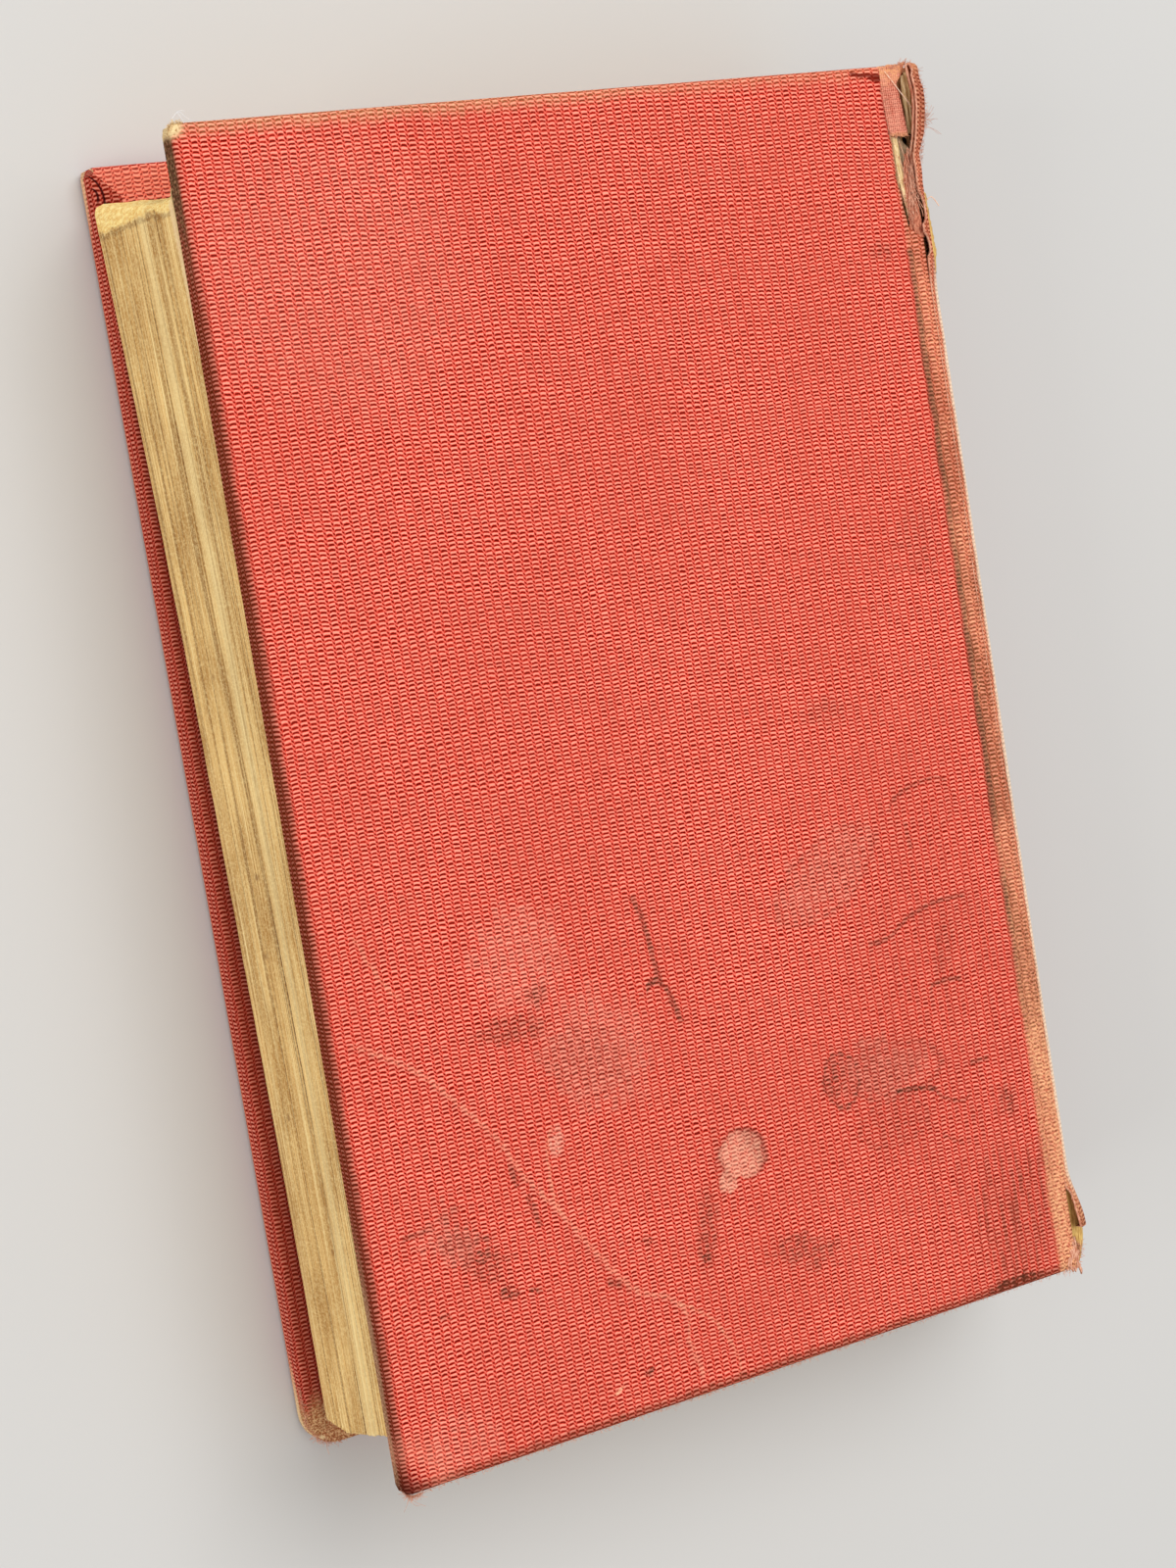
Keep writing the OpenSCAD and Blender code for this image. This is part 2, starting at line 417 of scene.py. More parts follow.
def traceMask(look, u, v, spots, wide, turn=90.0):
    # 1 near a line drawn through (across, down) spots, which runs roughly along the turned axis
    c, s = math.cos(math.radians(turn)), math.sin(math.radians(turn))
    line = [(x * c + y * s, y * c - x * s) for x, y in spots]
    low, span = line[0][0], line[-1][0] - line[0][0]
    base = min(side for _, side in line)
    reach = max(max(side for _, side in line) - base, 0.5)
    curve = [((a - low) / span, (side - base) / reach) for a, side in line]
    along = (u * c + v * s - low) / span
    here = look.node("ShaderNodeFloatCurve", {"curve": curve}, {1: along}) * reach + base
    ends = look.smooth(abs(along - 0.5), 0.5 - 0.3 / span, 0.5 + 0.5 / span, 1.0, 0.0)
    return look.smooth(abs(v * c - u * s - here), wide * 0.3, wide, 1.0, 0.0) * ends


def dirtAndShade(look, colour, amount, dark, shade, low=0.4):
    # mixes in a darker colour, lying in the slots first: dirt, and in places painted shade
    return look.mix(amount * (low + dark * (1 - low)), colour, tint(*shade))


def rubbed(look, colour, amount, dark, shade):
    # rubbing bares the tops of the beads first
    return look.mix(amount * (1 - dark * 0.75), colour, tint(*shade))


# marks on the rear cover, placed as (mm across from the fore-edge, mm down from the head)
rearMarks = {
    "crease": [(3.5, 126.5), (6, 128), (9, 130), (13, 133), (18, 138.5), (22.5, 144), (26, 150.5),
               (31, 157.5), (35.5, 164.5), (39.5, 170), (45, 173.5), (47.5, 175.5), (48.4, 181), (50, 187)],
    # pale lines: spots, half width, turn of the line's axis, strength
    "paleLines": [([(6.5, 112), (8, 116), (11.5, 121.5)], 0.45, 65, 0.22),
                  ([(31.8, 145), (30.3, 150), (30.2, 153.5), (31, 157.5)], 0.45, 90, 0.3),
                  ([(47.5, 175.5), (51, 177.8), (54, 181), (55.8, 189)], 0.45, 60, 0.3),
                  ([(35.0, 185.5), (36.2, 184.8)], 0.4, -30, 1.0)],
    "darkLines": [([(50.8, 115.5), (51.6, 118), (52.2, 121), (52.8, 126), (53.4, 129.4)], 0.75, 90, 0.55),
                  ([(50.8, 129.2), (52.4, 128.2), (53.6, 129.4)], 0.9, 0, 0.75),
                  ([(54.0, 129.5), (54.6, 131.5), (55.6, 135)], 0.75, 90, 0.6),
                  ([(90.5, 131), (93, 131), (96.5, 129.4), (99, 128.2), (104, 127.2), (109, 127.2)],
                   0.55, 0, 0.5),
                  ([(100.5, 140), (103, 139.4), (106, 139.8)], 0.6, 0, 0.55),
                  ([(98.2, 113), (98.4, 110.5), (101, 109.2), (105, 108.4), (109, 109)], 0.5, -20, 0.4),
                  ([(100.2, 114), (100.8, 118.5)], 0.6, 90, 0.3),
                  ([(91, 154.2), (95, 154.6), (98.6, 155.6)], 0.6, 0, 0.85),
                  ([(98.2, 155.2), (100.5, 157.6), (104.5, 158)], 0.5, 30, 0.45),
                  ([(105.6, 153.2), (109.2, 153)], 0.6, 0, 0.5),
                  ([(79.4, 148.6), (81.6, 147.6), (84, 149.5), (82, 151)], 0.45, 0, 0.5),
                  ([(98.6, 163), (102, 165)], 0.5, 20, 0.3),
                  ([(24.2, 148.8), (24.8, 152)], 0.7, 90, 0.55),
                  ([(26.2, 153.6), (27.4, 158.4)], 0.8, 75, 0.45),
                  ([(6.2, 154.6), (9.8, 154.4)], 0.6, 0, 0.5),
                  ([(36.6, 169.2), (38.8, 170.2)], 0.8, 10, 0.5)],
    # outlines and filled patches: centre, size, turn, strength
    "rings": [((81.6, 150.2), (3.2, 4.0), 0, 0.62), ((91, 150.8), (9.2, 4.4), 4, 0.30),
              ((84.5, 119.2), (10.4, 5.0), -28, 0.26), ((90, 158.8), (6.4, 3.4), 0, 0.26),
              ((104, 113), (6, 4), -20, 0.14)],
    "dark": [((16, 159), (7.5, 2.6), 52, 0.34), ((20.8, 166.4), (1.6, 1.0), 0, 0.6),
             ((17.4, 160.4), (1.0, 1.2), 0, 0.6), ((28, 130), (6, 2.0), 6, 0.36),
             ((39, 137), (8, 5), 30, 0.22), ((33, 126), (1.4, 1.6), 0, 0.4),
             ((54.4, 166), (1.8, 6), 12, 0.34), ((53.4, 169.8), (0.9, 0.7), 0, 0.8),
             ((71, 173.5), (5.5, 2.6), 8, 0.36), ((80.2, 150), (1.6, 3.2), 0, 0.45),
             ((88, 150), (8, 4), 4, 0.26), ((90, 158.5), (6, 2.4), 0, 0.18),
             ((104, 134), (1.6, 5), 20, 0.2), ((111.8, 160.5), (1.2, 2.4), 0, 0.45),
             ((85, 119), (9.5, 4.6), -28, 0.14), ((111, 179), (7.5, 8), 30, 0.16),
             ((112, 28), (2, 1.5), 0, 0.3), ((89, 95), (4, 2), 0, 0.18), ((111, 72), (4, 6), 0, 0.18),
             ((108, 189), (5, 1.2), 0, 0.9), ((41, 184), (0.7, 0.7), 0, 0.6),
             ((44, 165), (0.9, 0.8), 0, 0.45), ((25, 167.2), (1.0, 0.6), 0, 0.5),
             ((10.5, 167.2), (0.9, 0.6), 0, 0.4), ((70, 113), (0.7, 0.7), 0, 0.3),
             ((58, 157), (1.2, 5), 0, 0.2)],
    "pale": [((31, 120), (7, 7), 0, 0.30), ((41, 136), (9, 8), 35, 0.30),
             ((84.5, 119), (10, 4.8), -28, 0.26), ((90, 150.5), (8.6, 4.0), 4, 0.24),
             ((13, 157), (5, 3.0), 40, 0.30), ((32.2, 147), (1.2, 2.0), 20, 0.85),
             ((10, 185), (6, 4), 0, 0.22), ((63, 129), (0.25, 0.25), 0, 1.0),
             ((20, 22), (20, 18), 0, 0.16)],
}


def edgeDrift(look, u, v):
    # slow wander that keeps the edges of worn places from running straight
    return look.grain(look.vector(u * 0.5, v * 0.16), 1.0, 3.0) - 0.5


def rearWear(look, colour, place, u, v, fine, dark):
    ragged = look.node("ShaderNodeTexNoise", {},
                       {"Vector": look.vector(u, v), "Scale": 0.45, "Detail": 3.0}, out=1)

    def shifted(reach):
        # the place on the cloth, moved about by up to reach mm
        moved = look.node("ShaderNodeVectorMath", {"operation": "MULTIPLY_ADD"},
                          {0: ragged, 1: (reach * 2, reach * 2, 0), 2: place})
        return look.node("ShaderNodeVectorMath", {"operation": "SUBTRACT"},
                         {0: moved, 1: (reach, reach, 0)})

    near, wide = shifted(1.2), shifted(5.5)
    blotch = look.grain(look.vector(u * 0.75, v * 0.75), 1.0, 3.0, 0.7)
    speck = look.flecks(u, v, 1.1, 0.40, 0.60, 4.0, 0.8)
    # faded and rubbed areas
    for centre, size, turn, strength in rearMarks["pale"]:
        mask = spotMask(look, wide if min(size) > 2 else near, centre, size, turn, 0.3) * (speck + 0.1)
        colour = rubbed(look, colour, mask * strength, dark, (246, 176, 150))
    # smudges
    soot = 0.0
    for centre, size, turn, strength in rearMarks["dark"]:
        mask = spotMask(look, wide if min(size) > 2 else near, centre, size, turn, 0.45)
        soot = look.maths("MAXIMUM", mask * strength, soot)
    soot = soot * (1.9 - speck * 1.7)
    for centre, size, turn, strength in rearMarks["rings"]:
        ring = ringMask(look, near, centre, size, turn, 0.6 / min(size)) * (1.7 - speck * 1.3)
        soot = look.maths("MAXIMUM", ring * strength, soot)
    for spots, broad, turn, strength in rearMarks["darkLines"]:
        trace = traceMask(look, u + (blotch - 0.5) * 0.8, v, spots, broad, turn)
        soot = look.maths("MAXIMUM", trace * strength * (1.5 - speck * 0.7), soot)
    colour = dirtAndShade(look, colour, soot * 1.15, dark, (90, 44, 30))
    # round stain, its outline darkest on the right, with a bite out of its lower left
    bite = spotMask(look, near, (61.3, 161.8), (1.1, 2.3), 0, 0.15)
    lobe = spotMask(look, near, (59.0, 160.2), (1.4, 1.6), 0, 0.15)
    stain = spotMask(look, near, (62.2, 156.9), (3.9, 3.6), 12, 0.08)
    stain = look.maths("MAXIMUM", stain, lobe) * (1 - bite)
    colour = rubbed(look, colour, stain * (0.38 + speck * 0.55), dark, (246, 180, 150))
    shade = look.smooth(u - (v - 157) * 0.5, 62.8, 65.2)
    outline = ringMask(look, near, (62.3, 156.8), (4.0, 3.7), 12, 0.22) * (0.42 + shade * 0.58) * (1 - bite)
    colour = dirtAndShade(look, colour, look.maths("MAXIMUM", outline, stain * shade * 0.5), dark, (110, 48, 36))
    # crease, with painted shadow and painted highlight, and other pale lines
    loose = (look.grain(look.vector(u * 0.6, v * 0.6), 1.0) - 0.5) * 1.2
    # painted shadow along one side of the crease
    shadow = traceMask(look, u + loose + 0.5, v - 0.4, rearMarks["crease"], 0.7, 52) * (0.2 + speck * 0.5)
    colour = dirtAndShade(look, colour, shadow * 0.45, dark, (120, 40, 30))
    # the crease's pale ridge line: rubbed cloth with a painted highlight
    crease = traceMask(look, u + loose, v, rearMarks["crease"], 0.6, 52) * (0.15 + speck * 0.75)
    colour = rubbed(look, colour, crease * 0.62, dark, (255, 172, 140))
    for spots, broad, turn, strength in rearMarks["paleLines"]:
        trace = traceMask(look, u + loose, v, spots, broad, turn) * strength
        colour = rubbed(look, colour, trace * (0.4 + speck * 0.8), dark, (255, 190, 150))
    # rubbed and dirty edges, with painted shade on the rounded side
    edgeNoise = edgeDrift(look, u, v)
    fluff = look.flecks(u, v, 2.2, 0.42, 0.62)
    left = look.smooth(u + edgeNoise * 1.4, 0.1, 1.5, 1.0, 0.0) * look.smooth(v, 12, 30, 0.5, 1.0)
    colour = dirtAndShade(look, colour, left * 0.95, dark, (84, 36, 20), 0.5)
    # the rounded edge and side: browned by wear, and darkened further as painted shade of the side that
    # faces away from the light
    strip = look.smooth(u, -0.5, 0.3, 1.0, 0.0)
    colour = dirtAndShade(look, colour, strip * (0.95 - fluff * 0.35), dark, (92, 34, 8), 0.45)
    headStrip = strip * look.smooth(v + edgeNoise * 12, 7, 24, 1.0, 0.0)
    weave = look.flecks(u, v, 2.6, 0.50, 0.66, 2.0, 0.6, 1.5)
    colour = look.mix(headStrip * 0.8, colour, look.mix(weave, tint(70, 58, 38), tint(160, 128, 92)))
    tailStrip = look.smooth(u + edgeNoise, -1.0, -1.9) * look.smooth(v + edgeNoise * 30, 146, 168)
    colour = look.mix(tailStrip * 0.85, colour, look.mix(fluff, tint(138, 98, 70), tint(190, 150, 118)))
    top = look.smooth(v + edgeNoise * 2.6, 0.0, 2.8, 1.0, 0.0) * look.smooth(abs(u - 30), 16, 60, 1.0, 0.5)
    colour = rubbed(look, colour, top * (0.32 + fluff * 0.5), dark, (240, 188, 146))
    colour = dirtAndShade(look, colour, top * 0.5, dark, (150, 96, 44), 0.1)
    low = look.smooth(v + edgeNoise * 1.6, 187.9, 189.4)
    colour = dirtAndShade(look, colour, low * 0.85, dark, (96, 46, 28), 0.55)
    fuzz = look.smooth(v + edgeNoise, 189.6, 190.4) * look.smooth(abs(u - 40), 30, 50, 1.0, 0.0)
    colour = look.mix(fuzz * fluff * 0.8, colour, tint(212, 158, 116))
    # darker upright streaks at the lower right
    streak = look.flecks(u, v, 1.5, 0.45, 0.65, 2.0, 0.5, 0.12)
    corner = spotMask(look, near, (111, 178), (8, 12), 10, 0.4)
    colour = dirtAndShade(look, colour, corner * streak * 0.7, dark, (120, 52, 34))
    side = spotMask(look, wide, (103, 150), (16, 36), 0, 0.5)
    colour = dirtAndShade(look, colour, side * streak * 0.30, dark, (120, 44, 34))
    # dark and rubbed corner at the tail
    fromTip = look.maths("SQRT", u * u + (190 - v) * (190 - v)) + edgeNoise * 2.0
    colour = dirtAndShade(look, colour, look.smooth(fromTip, 0.4, 5.2, 0.9, 0.0), dark, (70, 20, 14), 0.7)
    colour = rubbed(look, colour, look.smooth(abs(fromTip - 6.5), 0.0, 3.5, 0.3, 0.0), dark,
                    (240, 150, 122))
    # worn-through corner at the head
    onCover = look.maths("MAXIMUM", u, 0.0)
    fromHead = look.maths("SQRT", onCover * onCover + v * v)
    tip = look.smooth(fromHead + edgeNoise * 1.6, 1.0, 2.4, 1.0, 0.0)
    colour = look.mix(tip, colour, look.mix(weave, tint(244, 214, 160), tint(176, 128, 78)))
    # joint band, browned in its slots and rubbed pale on its beads
    colour = jointBand(look, colour, u, v, dark, edgeNoise, 116.6)
    # painted shadow under the cloth's lifted edge at the head, beside the joint
    liftShadow = traceMask(look, u, v + edgeNoise * 0.8, [(111.2, 0.95), (113, 1.15), (115, 1.5), (117.2, 1.9)],
                     0.5, 0)
    liftShadow = look.maths("MAXIMUM", liftShadow, spotMask(look, place, (115.6, 1.7), (1.3, 0.62), 8, 0.25))
    colour = dirtAndShade(look, colour, liftShadow * 0.95, dark, (112, 26, 14), 0.9)
    return colour


def jointBand(look, colour, u, v, dark, edgeNoise, start):
    band = look.smooth(u + edgeNoise * 1.4, start - 0.4, start + 1.1) * look.smooth(u, 125, 134, 1.0, 0.3)
    patch = look.grain(look.vector(u * 0.2, v * 0.06), 1.0, 3.0)
    fluff = look.flecks(u, v, 1.9, 0.38, 0.62, 3.0, 0.75)
    olive = look.smooth(patch, 0.40, 0.56, 0.5, 1.0) * look.smooth(v, 150, 172, 1.0, 0.55)
    olive = olive * look.smooth(v, 30, 90, 0.8, 1.2)
    colour = dirtAndShade(look, colour, band * olive * (1.05 - fluff * 0.6), dark, (104, 52, 22), 0.4)
    seam = traceMask(look, u + edgeNoise * 1.6, v, [(start + 0.7, 28), (start + 0.6, 176)], 1.0)
    seam = seam * look.smooth(patch, 0.38, 0.55, 0.15, 0.9) * look.smooth(v, 128, 152, 1.0, 0.0)
    colour = dirtAndShade(look, colour, seam, dark, (70, 34, 20), 0.6)
    soft = band * look.smooth(v, 120, 160) * fluff
    colour = look.mix(soft * 0.55, colour, tint(240, 164, 120))
    pale = look.smooth(patch, 0.60, 0.42, 0.4, 0.8) * look.smooth(v, 120, 170, 0.7, 1.2)
    colour = rubbed(look, colour, band * pale * (0.25 + fluff * 0.75), dark, (255, 196, 144))
    # painted highlight along the back's curve where it turns out of sight
    silhouetteHighlight = look.smooth(u + edgeNoise * 0.9, 120.7, 121.5) * look.smooth(u, 122.4, 123.6, 1.0, 0.0)
    silhouetteHighlight = silhouetteHighlight * look.smooth(v + edgeNoise * 6, 28, 36) * look.smooth(v, 174, 180, 1.0, 0.0)
    return look.mix(silhouetteHighlight * (0.95 - dark * 0.25) * (0.7 + fluff * 0.4), colour, tint(255, 230, 200))


def plainWear(look, colour, place, u, v, fine, dark):
    edgeNoise = edgeDrift(look, u, v)
    fluff = look.flecks(u, v, 2.2, 0.42, 0.62)
    # the rounded edge and side: browned by wear, and darkened further as painted shade of the side that
    # faces away from the light
    strip = look.smooth(u, -2.9, -0.2, 1.0, 0.45) * look.smooth(u, 0.2, 0.8, 1.0, 0.0)
    colour = dirtAndShade(look, colour, strip * 0.8, dark, (92, 30, 14), 0.4)
    # the turned-in cloth is rubbed paler at the head, and beside the leaves is darkened as painted shade
    # where the leaves shadow it
    colour = rubbed(look, colour, look.smooth(v, -3.0, -3.6) * 0.4, dark, (236, 156, 130))
    inside = look.smooth(u, -3.4, -4.4) * look.smooth(v, 20, 60)
    colour = dirtAndShade(look, colour, inside * 0.6, dark, (110, 34, 20), 0.5)
    rim = look.smooth(abs(u + edgeNoise * 1.0), 0.2, 1.0, 1.0, 0.0)
    colour = rubbed(look, colour, rim * 0.5, dark, (226, 160, 116))
    colour = jointBand(look, colour, u, v, dark, edgeNoise, 116.6)
    # slits in the cloth at the head corner
    for spots in ([(-2.3, 0.9), (-3.7, 1.7), (-4.5, 2.8), (-4.9, 4.2), (-4.7, 6.4)],
                  [(-2.5, 2.9), (-3.5, 3.1), (-4.0, 3.9), (-3.9, 5.0)]):
        slit = traceMask(look, u, v, spots, 0.28)
        colour = look.mix(slit * 0.95, colour, tint(52, 10, 12))
    bare = look.smooth(abs(u + 0.6 + edgeNoise), 0.3, 1.0, 1.0, 0.0) * look.smooth(v, 12, 3)
    colour = look.mix(bare * (0.5 + fluff * 0.4), colour, tint(238, 202, 154))
    # the tail corner is worn to bare threads
    worn = look.smooth(v + edgeNoise * 5.0 - look.maths("MAXIMUM", u, 0.0) * 0.9, 181.0, 185.5)
    fibres = look.mix(fluff, tint(150, 92, 54), tint(226, 184, 134))
    colour = look.mix(worn * 0.9, colour, fibres)
    side = look.smooth(abs(u + 0.6 + edgeNoise), 0.2, 1.0, 1.0, 0.0) * look.smooth(v, 174, 184)
    return look.mix(side * 0.85, colour, tint(236, 204, 156))


def spineWear(look, colour, place, u, v, fine, dark):
    edgeNoise = edgeDrift(look, u, v)
    faded = look.smooth(look.grain(look.vector(u * 0.05, v * 0.04), 1.0, 4.0, 0.6), 0.35, 0.65, 0.75, 1.0)
    colour = dirtAndShade(look, colour, look.smooth(u, 121, 128, 0.2, 0.62) * faded, dark, (128, 66, 40), 0.45)
    colour = rubbed(look, colour, look.smooth(u, 124, 132, 0.0, 0.30) * faded, dark, (232, 150, 118))
    colour = jointBand(look, colour, u, v, dark, edgeNoise, 118.0)
    ends = look.smooth(abs(v + edgeNoise * 8 - 95), 76, 90)
    colour = dirtAndShade(look, colour, ends * 0.8, dark, (110, 44, 26), 0.35)
    fluff = look.flecks(u, v, 2.2, 0.40, 0.66)
    tips = look.smooth(abs(v + edgeNoise * 3 - 95), 92.5, 94.5)
    return look.mix(tips * (0.35 + fluff * 0.5), colour, tint(232, 160, 116))


def tabWear(look, colour, place, u, v, fine, dark):
    # the torn strip is bare: its thin threads show in place of the grain
    wander = look.grain(look.vector(u * 1.2, v * 1.2), 1.0, 3.0) * 5.0
    across = look.maths("SINE", u * 17.0 + wander)
    down = look.maths("SINE", v * 18.5 + wander)
    patch = look.grain(look.vector(u * 0.6, v * 0.4), 1.0, 2.0)
    weave = look.smooth(across * 0.8 + down * 0.45 + (fine - 0.5) * 3.0 + (patch - 0.5) * 2.5, -1.3, 1.1)
    strands = look.mix(weave, tint(168, 82, 62), tint(240, 168, 142))
    colour = look.mix(0.8, colour, strands)
    fluff = look.flecks(u, v, 1.6, 0.36, 0.60)
    top = look.smooth(v + fine * 4.0, 6.0, 2.6)
    colour = look.mix(top * (0.15 + fluff * 0.7), colour, tint(242, 176, 124))
    foot = look.smooth(v + fine, 10.4, 11.4)
    return look.mix(foot * 0.6, colour, tint(240, 180, 120))


def paperLook(name, base, dark, light, lines=0.0):
    # old paper: toned and foxed; the leaves' edges show as fine lines that lean with the fore-edge
    look = Look(name)
    x, y, z = look.bookSpot()
    v = look.maths("MAXIMUM", y, 0.0)
    tone = look.grain(look.vector(x * 0.05, y * 0.05, z * 0.2), 1.0, 4.0, 0.6)
    colour = look.mix(look.smooth(tone, 0.3, 0.7), tint(*dark), tint(*base))
    fibre = look.grain(look.vector(x * 2.4, y * 2.4, z * 2.4), 1.0, 3.0, 0.7)
    height = fibre * 0.4
    if lines:
        waver = look.grain(look.vector(y * 0.02, z * 0.15), 1.0, 2.0) * 3.0
        leaf = look.grain(look.vector(y * 0.012, z * 4.6 + waver, x * 0.02), 1.0, 3.0, 0.8)
        bundle = look.grain(look.vector(y * 0.006 + 7, z * 1.0 + waver * 0.3, x * 0.02), 1.0, 2.0, 0.6)
        colour = look.mix(look.smooth(leaf, 0.50, 0.62) * lines, colour, tint(*dark))
        colour = look.mix(look.smooth(leaf, 0.47, 0.33) * lines, colour, tint(*light))
        colour = look.mix(look.smooth(bundle, 0.54, 0.64) * lines * 0.75, colour, tint(150, 106, 54))
        # grooves between the sections, darkened as painted shade, and the wide raised band beside the
        # strongest one, lightened as a painted highlight
        for level, wide, strength in ((17.8, 0.16, 0.9), (16.9, 0.1, 0.6), (22.6, 0.1, 0.6),
                                      (25.0, 0.12, 0.7), (12.4, 0.1, 0.6), (9.0, 0.12, 0.6),
                                      (28.6, 0.1, 0.5)):
            off = abs(z - level - (waver - 1.5) * 0.4)
            colour = look.mix(look.smooth(off, wide * 0.4, wide * 1.5, 1.0, 0.0) * strength, colour,
                              tint(122, 82, 40))
        raisedBandHighlight = look.smooth(abs(z - 20.0 - (waver - 1.5) * 0.4), 0.8, 1.9, 1.0, 0.0)
        colour = look.mix(raisedBandHighlight * 0.45, colour, tint(*light))
        # bent and rubbed corners at the head, without lines, and brighter partly as a painted highlight of
        # the light from the head
        ragged = look.grain(look.vector(x * 0.8, y * 0.8, z * 0.5), 1.0, 3.0, 0.7) - 0.5
        lean = look.smooth(z, 22, 30) * 0.9
        head = look.smooth(v + ragged * 2.0 - lean, 10.0, 9.3)
        stroke = look.grain(look.vector(x * 2.0, y * 2.4 + z * 0.5, z * 0.9), 1.0, 3.0, 0.7)
        corner = look.mix(look.smooth(stroke, 0.38, 0.62), tint(232, 186, 104), tint(255, 230, 156))
        colour = look.mix(head, colour, corner)
        # a painted shadow just under the bent corners
        shade = look.smooth(abs(v + ragged * 2.0 - lean - 10.3), 0.1, 0.6, 1.0, 0.0)
        colour = look.mix(shade * 0.45, colour, tint(124, 86, 44))
        # the last leaves are paler and smoother
        last = look.mix(look.smooth(v, 60, 170), tint(240, 208, 160), tint(190, 146, 108))
        colour = look.mix(look.smooth(z, 30.2, 30.7) * 0.8, colour, last)
        height = height - leaf * 0.8
    colour = look.mix(look.smooth(fibre, 0.42, 0.66) * 0.42, colour, tint(*light))
    foxing = look.node("ShaderNodeTexVoronoi", {}, {"Vector": look.vector(x, y, z), "Scale": 0.11,
                                                    "Randomness": 1.0})
    colour = look.mix(look.smooth(foxing, 0.02, 0.09, 0.6, 0.0), colour, tint(128, 78, 36))
    return look.finish({"Base Color": colour, "Roughness": 0.85, "Specular IOR Level": 0.2,
                        "Normal": look.bump(height, 0.08)})


def pastedownLook(name, headMargin):
    # paper whose head margin is the turned-in cloth that shows beyond it
    look = Look(name)
    x, y, z = look.bookSpot()
    dark, cell, fine = beadPattern(look, x, -3.1 - y)
    cloth = rubbed(look, beadColourAndPaintedLight(look, dark), 0.4, dark, (236, 156, 130))
    tone = look.grain(look.vector(x * 0.1, y * 0.1), 1.0, 3.0)
    paper = look.mix(tone, tint(196, 160, 104), tint(230, 202, 150))
    colour = look.mix(look.smooth(y + fine * 0.3, headMargin, headMargin + 0.2), cloth, paper)
    return look.finish({"Base Color": colour, "Roughness": 0.85, "Specular IOR Level": 0.0})


def fibreLook(name, base, dark, scale=1.0):
    look = Look(name)
    x, y, z = look.bookSpot()
    strand = look.grain(look.vector(x * 3 * scale, y * 0.6 * scale, z * 3 * scale), 1.0, 4.0, 0.7)
    colour = look.mix(look.smooth(strand, 0.35, 0.65), tint(*dark), tint(*base))
    return look.finish({"Base Color": colour, "Roughness": 0.9, "Specular IOR Level": 0.2,
                        "Normal": look.bump(strand, 0.12)})


looks = {
    "rearCloth": clothLook("rearClothLook", rearWear),
    "frontCloth": clothLook("frontClothLook", plainWear),
    "spineCloth": clothLook("spineClothLook", spineWear),
    "pages": paperLook("pagesLook", (238, 198, 128), (184, 136, 72), (255, 232, 170), lines=1.0),
    "endpaper": paperLook("endpaperLook", (216, 186, 132), (196, 160, 104), (236, 210, 160)),
    "pastedown": pastedownLook("pastedownLook", 7.0),
    "lining": fibreLook("liningLook", (240, 200, 120), (188, 138, 70)),
    "card": fibreLook("cardLook", (170, 130, 88), (130, 94, 60)),
    "board": fibreLook("boardLook", (196, 164, 116), (140, 110, 74)),
    "mull": fibreLook("mullLook", (222, 192, 130), (170, 130, 76), 1.6),
    "tabCloth": clothLook("tabClothLook", tabWear),
    "palePaper": fibreLook("palePaperLook", (250, 222, 172), (206, 170, 112)),
    # grey-brown paper: painted shade for paper lying deep in the torn joint
    "greyPaper": fibreLook("greyPaperLook", (178, 150, 118), (112, 88, 64)),
    # near-black paper: painted shadow for the depth of the hole into the back's hollow
    "darkPaper": fibreLook("darkPaperLook", (22, 14, 8), (8, 5, 3)),
    "paleThread": fibreLook("paleThreadLook", (255, 224, 200), (240, 184, 150)),
    "lint": fibreLook("lintLook", (246, 246, 246), (220, 222, 226)),
    "tornFibres": fibreLook("tornFibresLook", (240, 158, 124), (146, 66, 44), 1.7),
    "fray": fibreLook("frayLook", (244, 190, 160), (190, 112, 82), 1.6),
}
print("finishes made")


# Cloth over the covers

wrap = {
    "round": 0.7,        # radius of the cloth over a board's edge, mm
    "roundSteps": 4,
    "sideSteps": 3,
    "tip": 1.0,          # the rear cover's tail corner, its cloth pulled to a point over the rounded board
    "turnIn": 15.0,
    "turnInSteps": 7,
    "seam": 0.8,         # how far past the hinge line a cover's cloth runs
    "thin": 1.3,         # depth of the wrap past the boards' ends
    "groove": 0.22,      # depth of the joint's groove, mm
    "grooveBack": 1.1,   # from the groove to the hinge line
    "grooveWide": 0.55,
    "clothShare": 0.95,  # the sheets' thickness as a share of the CAD's cloth
    "coarse": 2.4,
    "fine": 0.25,
}

headSpots = [book["head"], book["head"] - 12, book["head"] - 24, book["tail"], book["tail"] + 12]
linesDown = lineSpots(book["tail"] + wrap["round"], book["head"] - wrap["round"], wrap["coarse"],
                      wrap["fine"] * 1.6, headSpots)

# torn edges beside the rear joint, as (mm down from the head, mm across as seen over the rear cover)
tears = {
    "cover": [(-2, 116.8), (3.9, 116.4), (8.6, 116.5), (12.6, 116.9), (14.6, 117.0), (16.7, 116.8),
              (19.4, 117.2), (22.1, 117.4), (24.6, 117.9), (25.6, 119.0), (26.4, 121.5)],
    "spineHead": [(-2, 122.8), (1.7, 122.9), (4.4, 122.8), (7, 122.4), (10.9, 121.4), (12.9, 120.4),
                  (15, 120.1), (17.6, 119.6), (20.3, 119.4), (23, 119.2), (26, 119.2)],
    "spineTail": [(176, 119.8), (178, 121.4), (181, 121.9), (183.8, 122.4), (184.2, 124), (192, 124)],
    "coverTail": [(176, 121.5), (178, 120.9), (184, 120.9), (187, 120.8), (192, 120.6)],
}
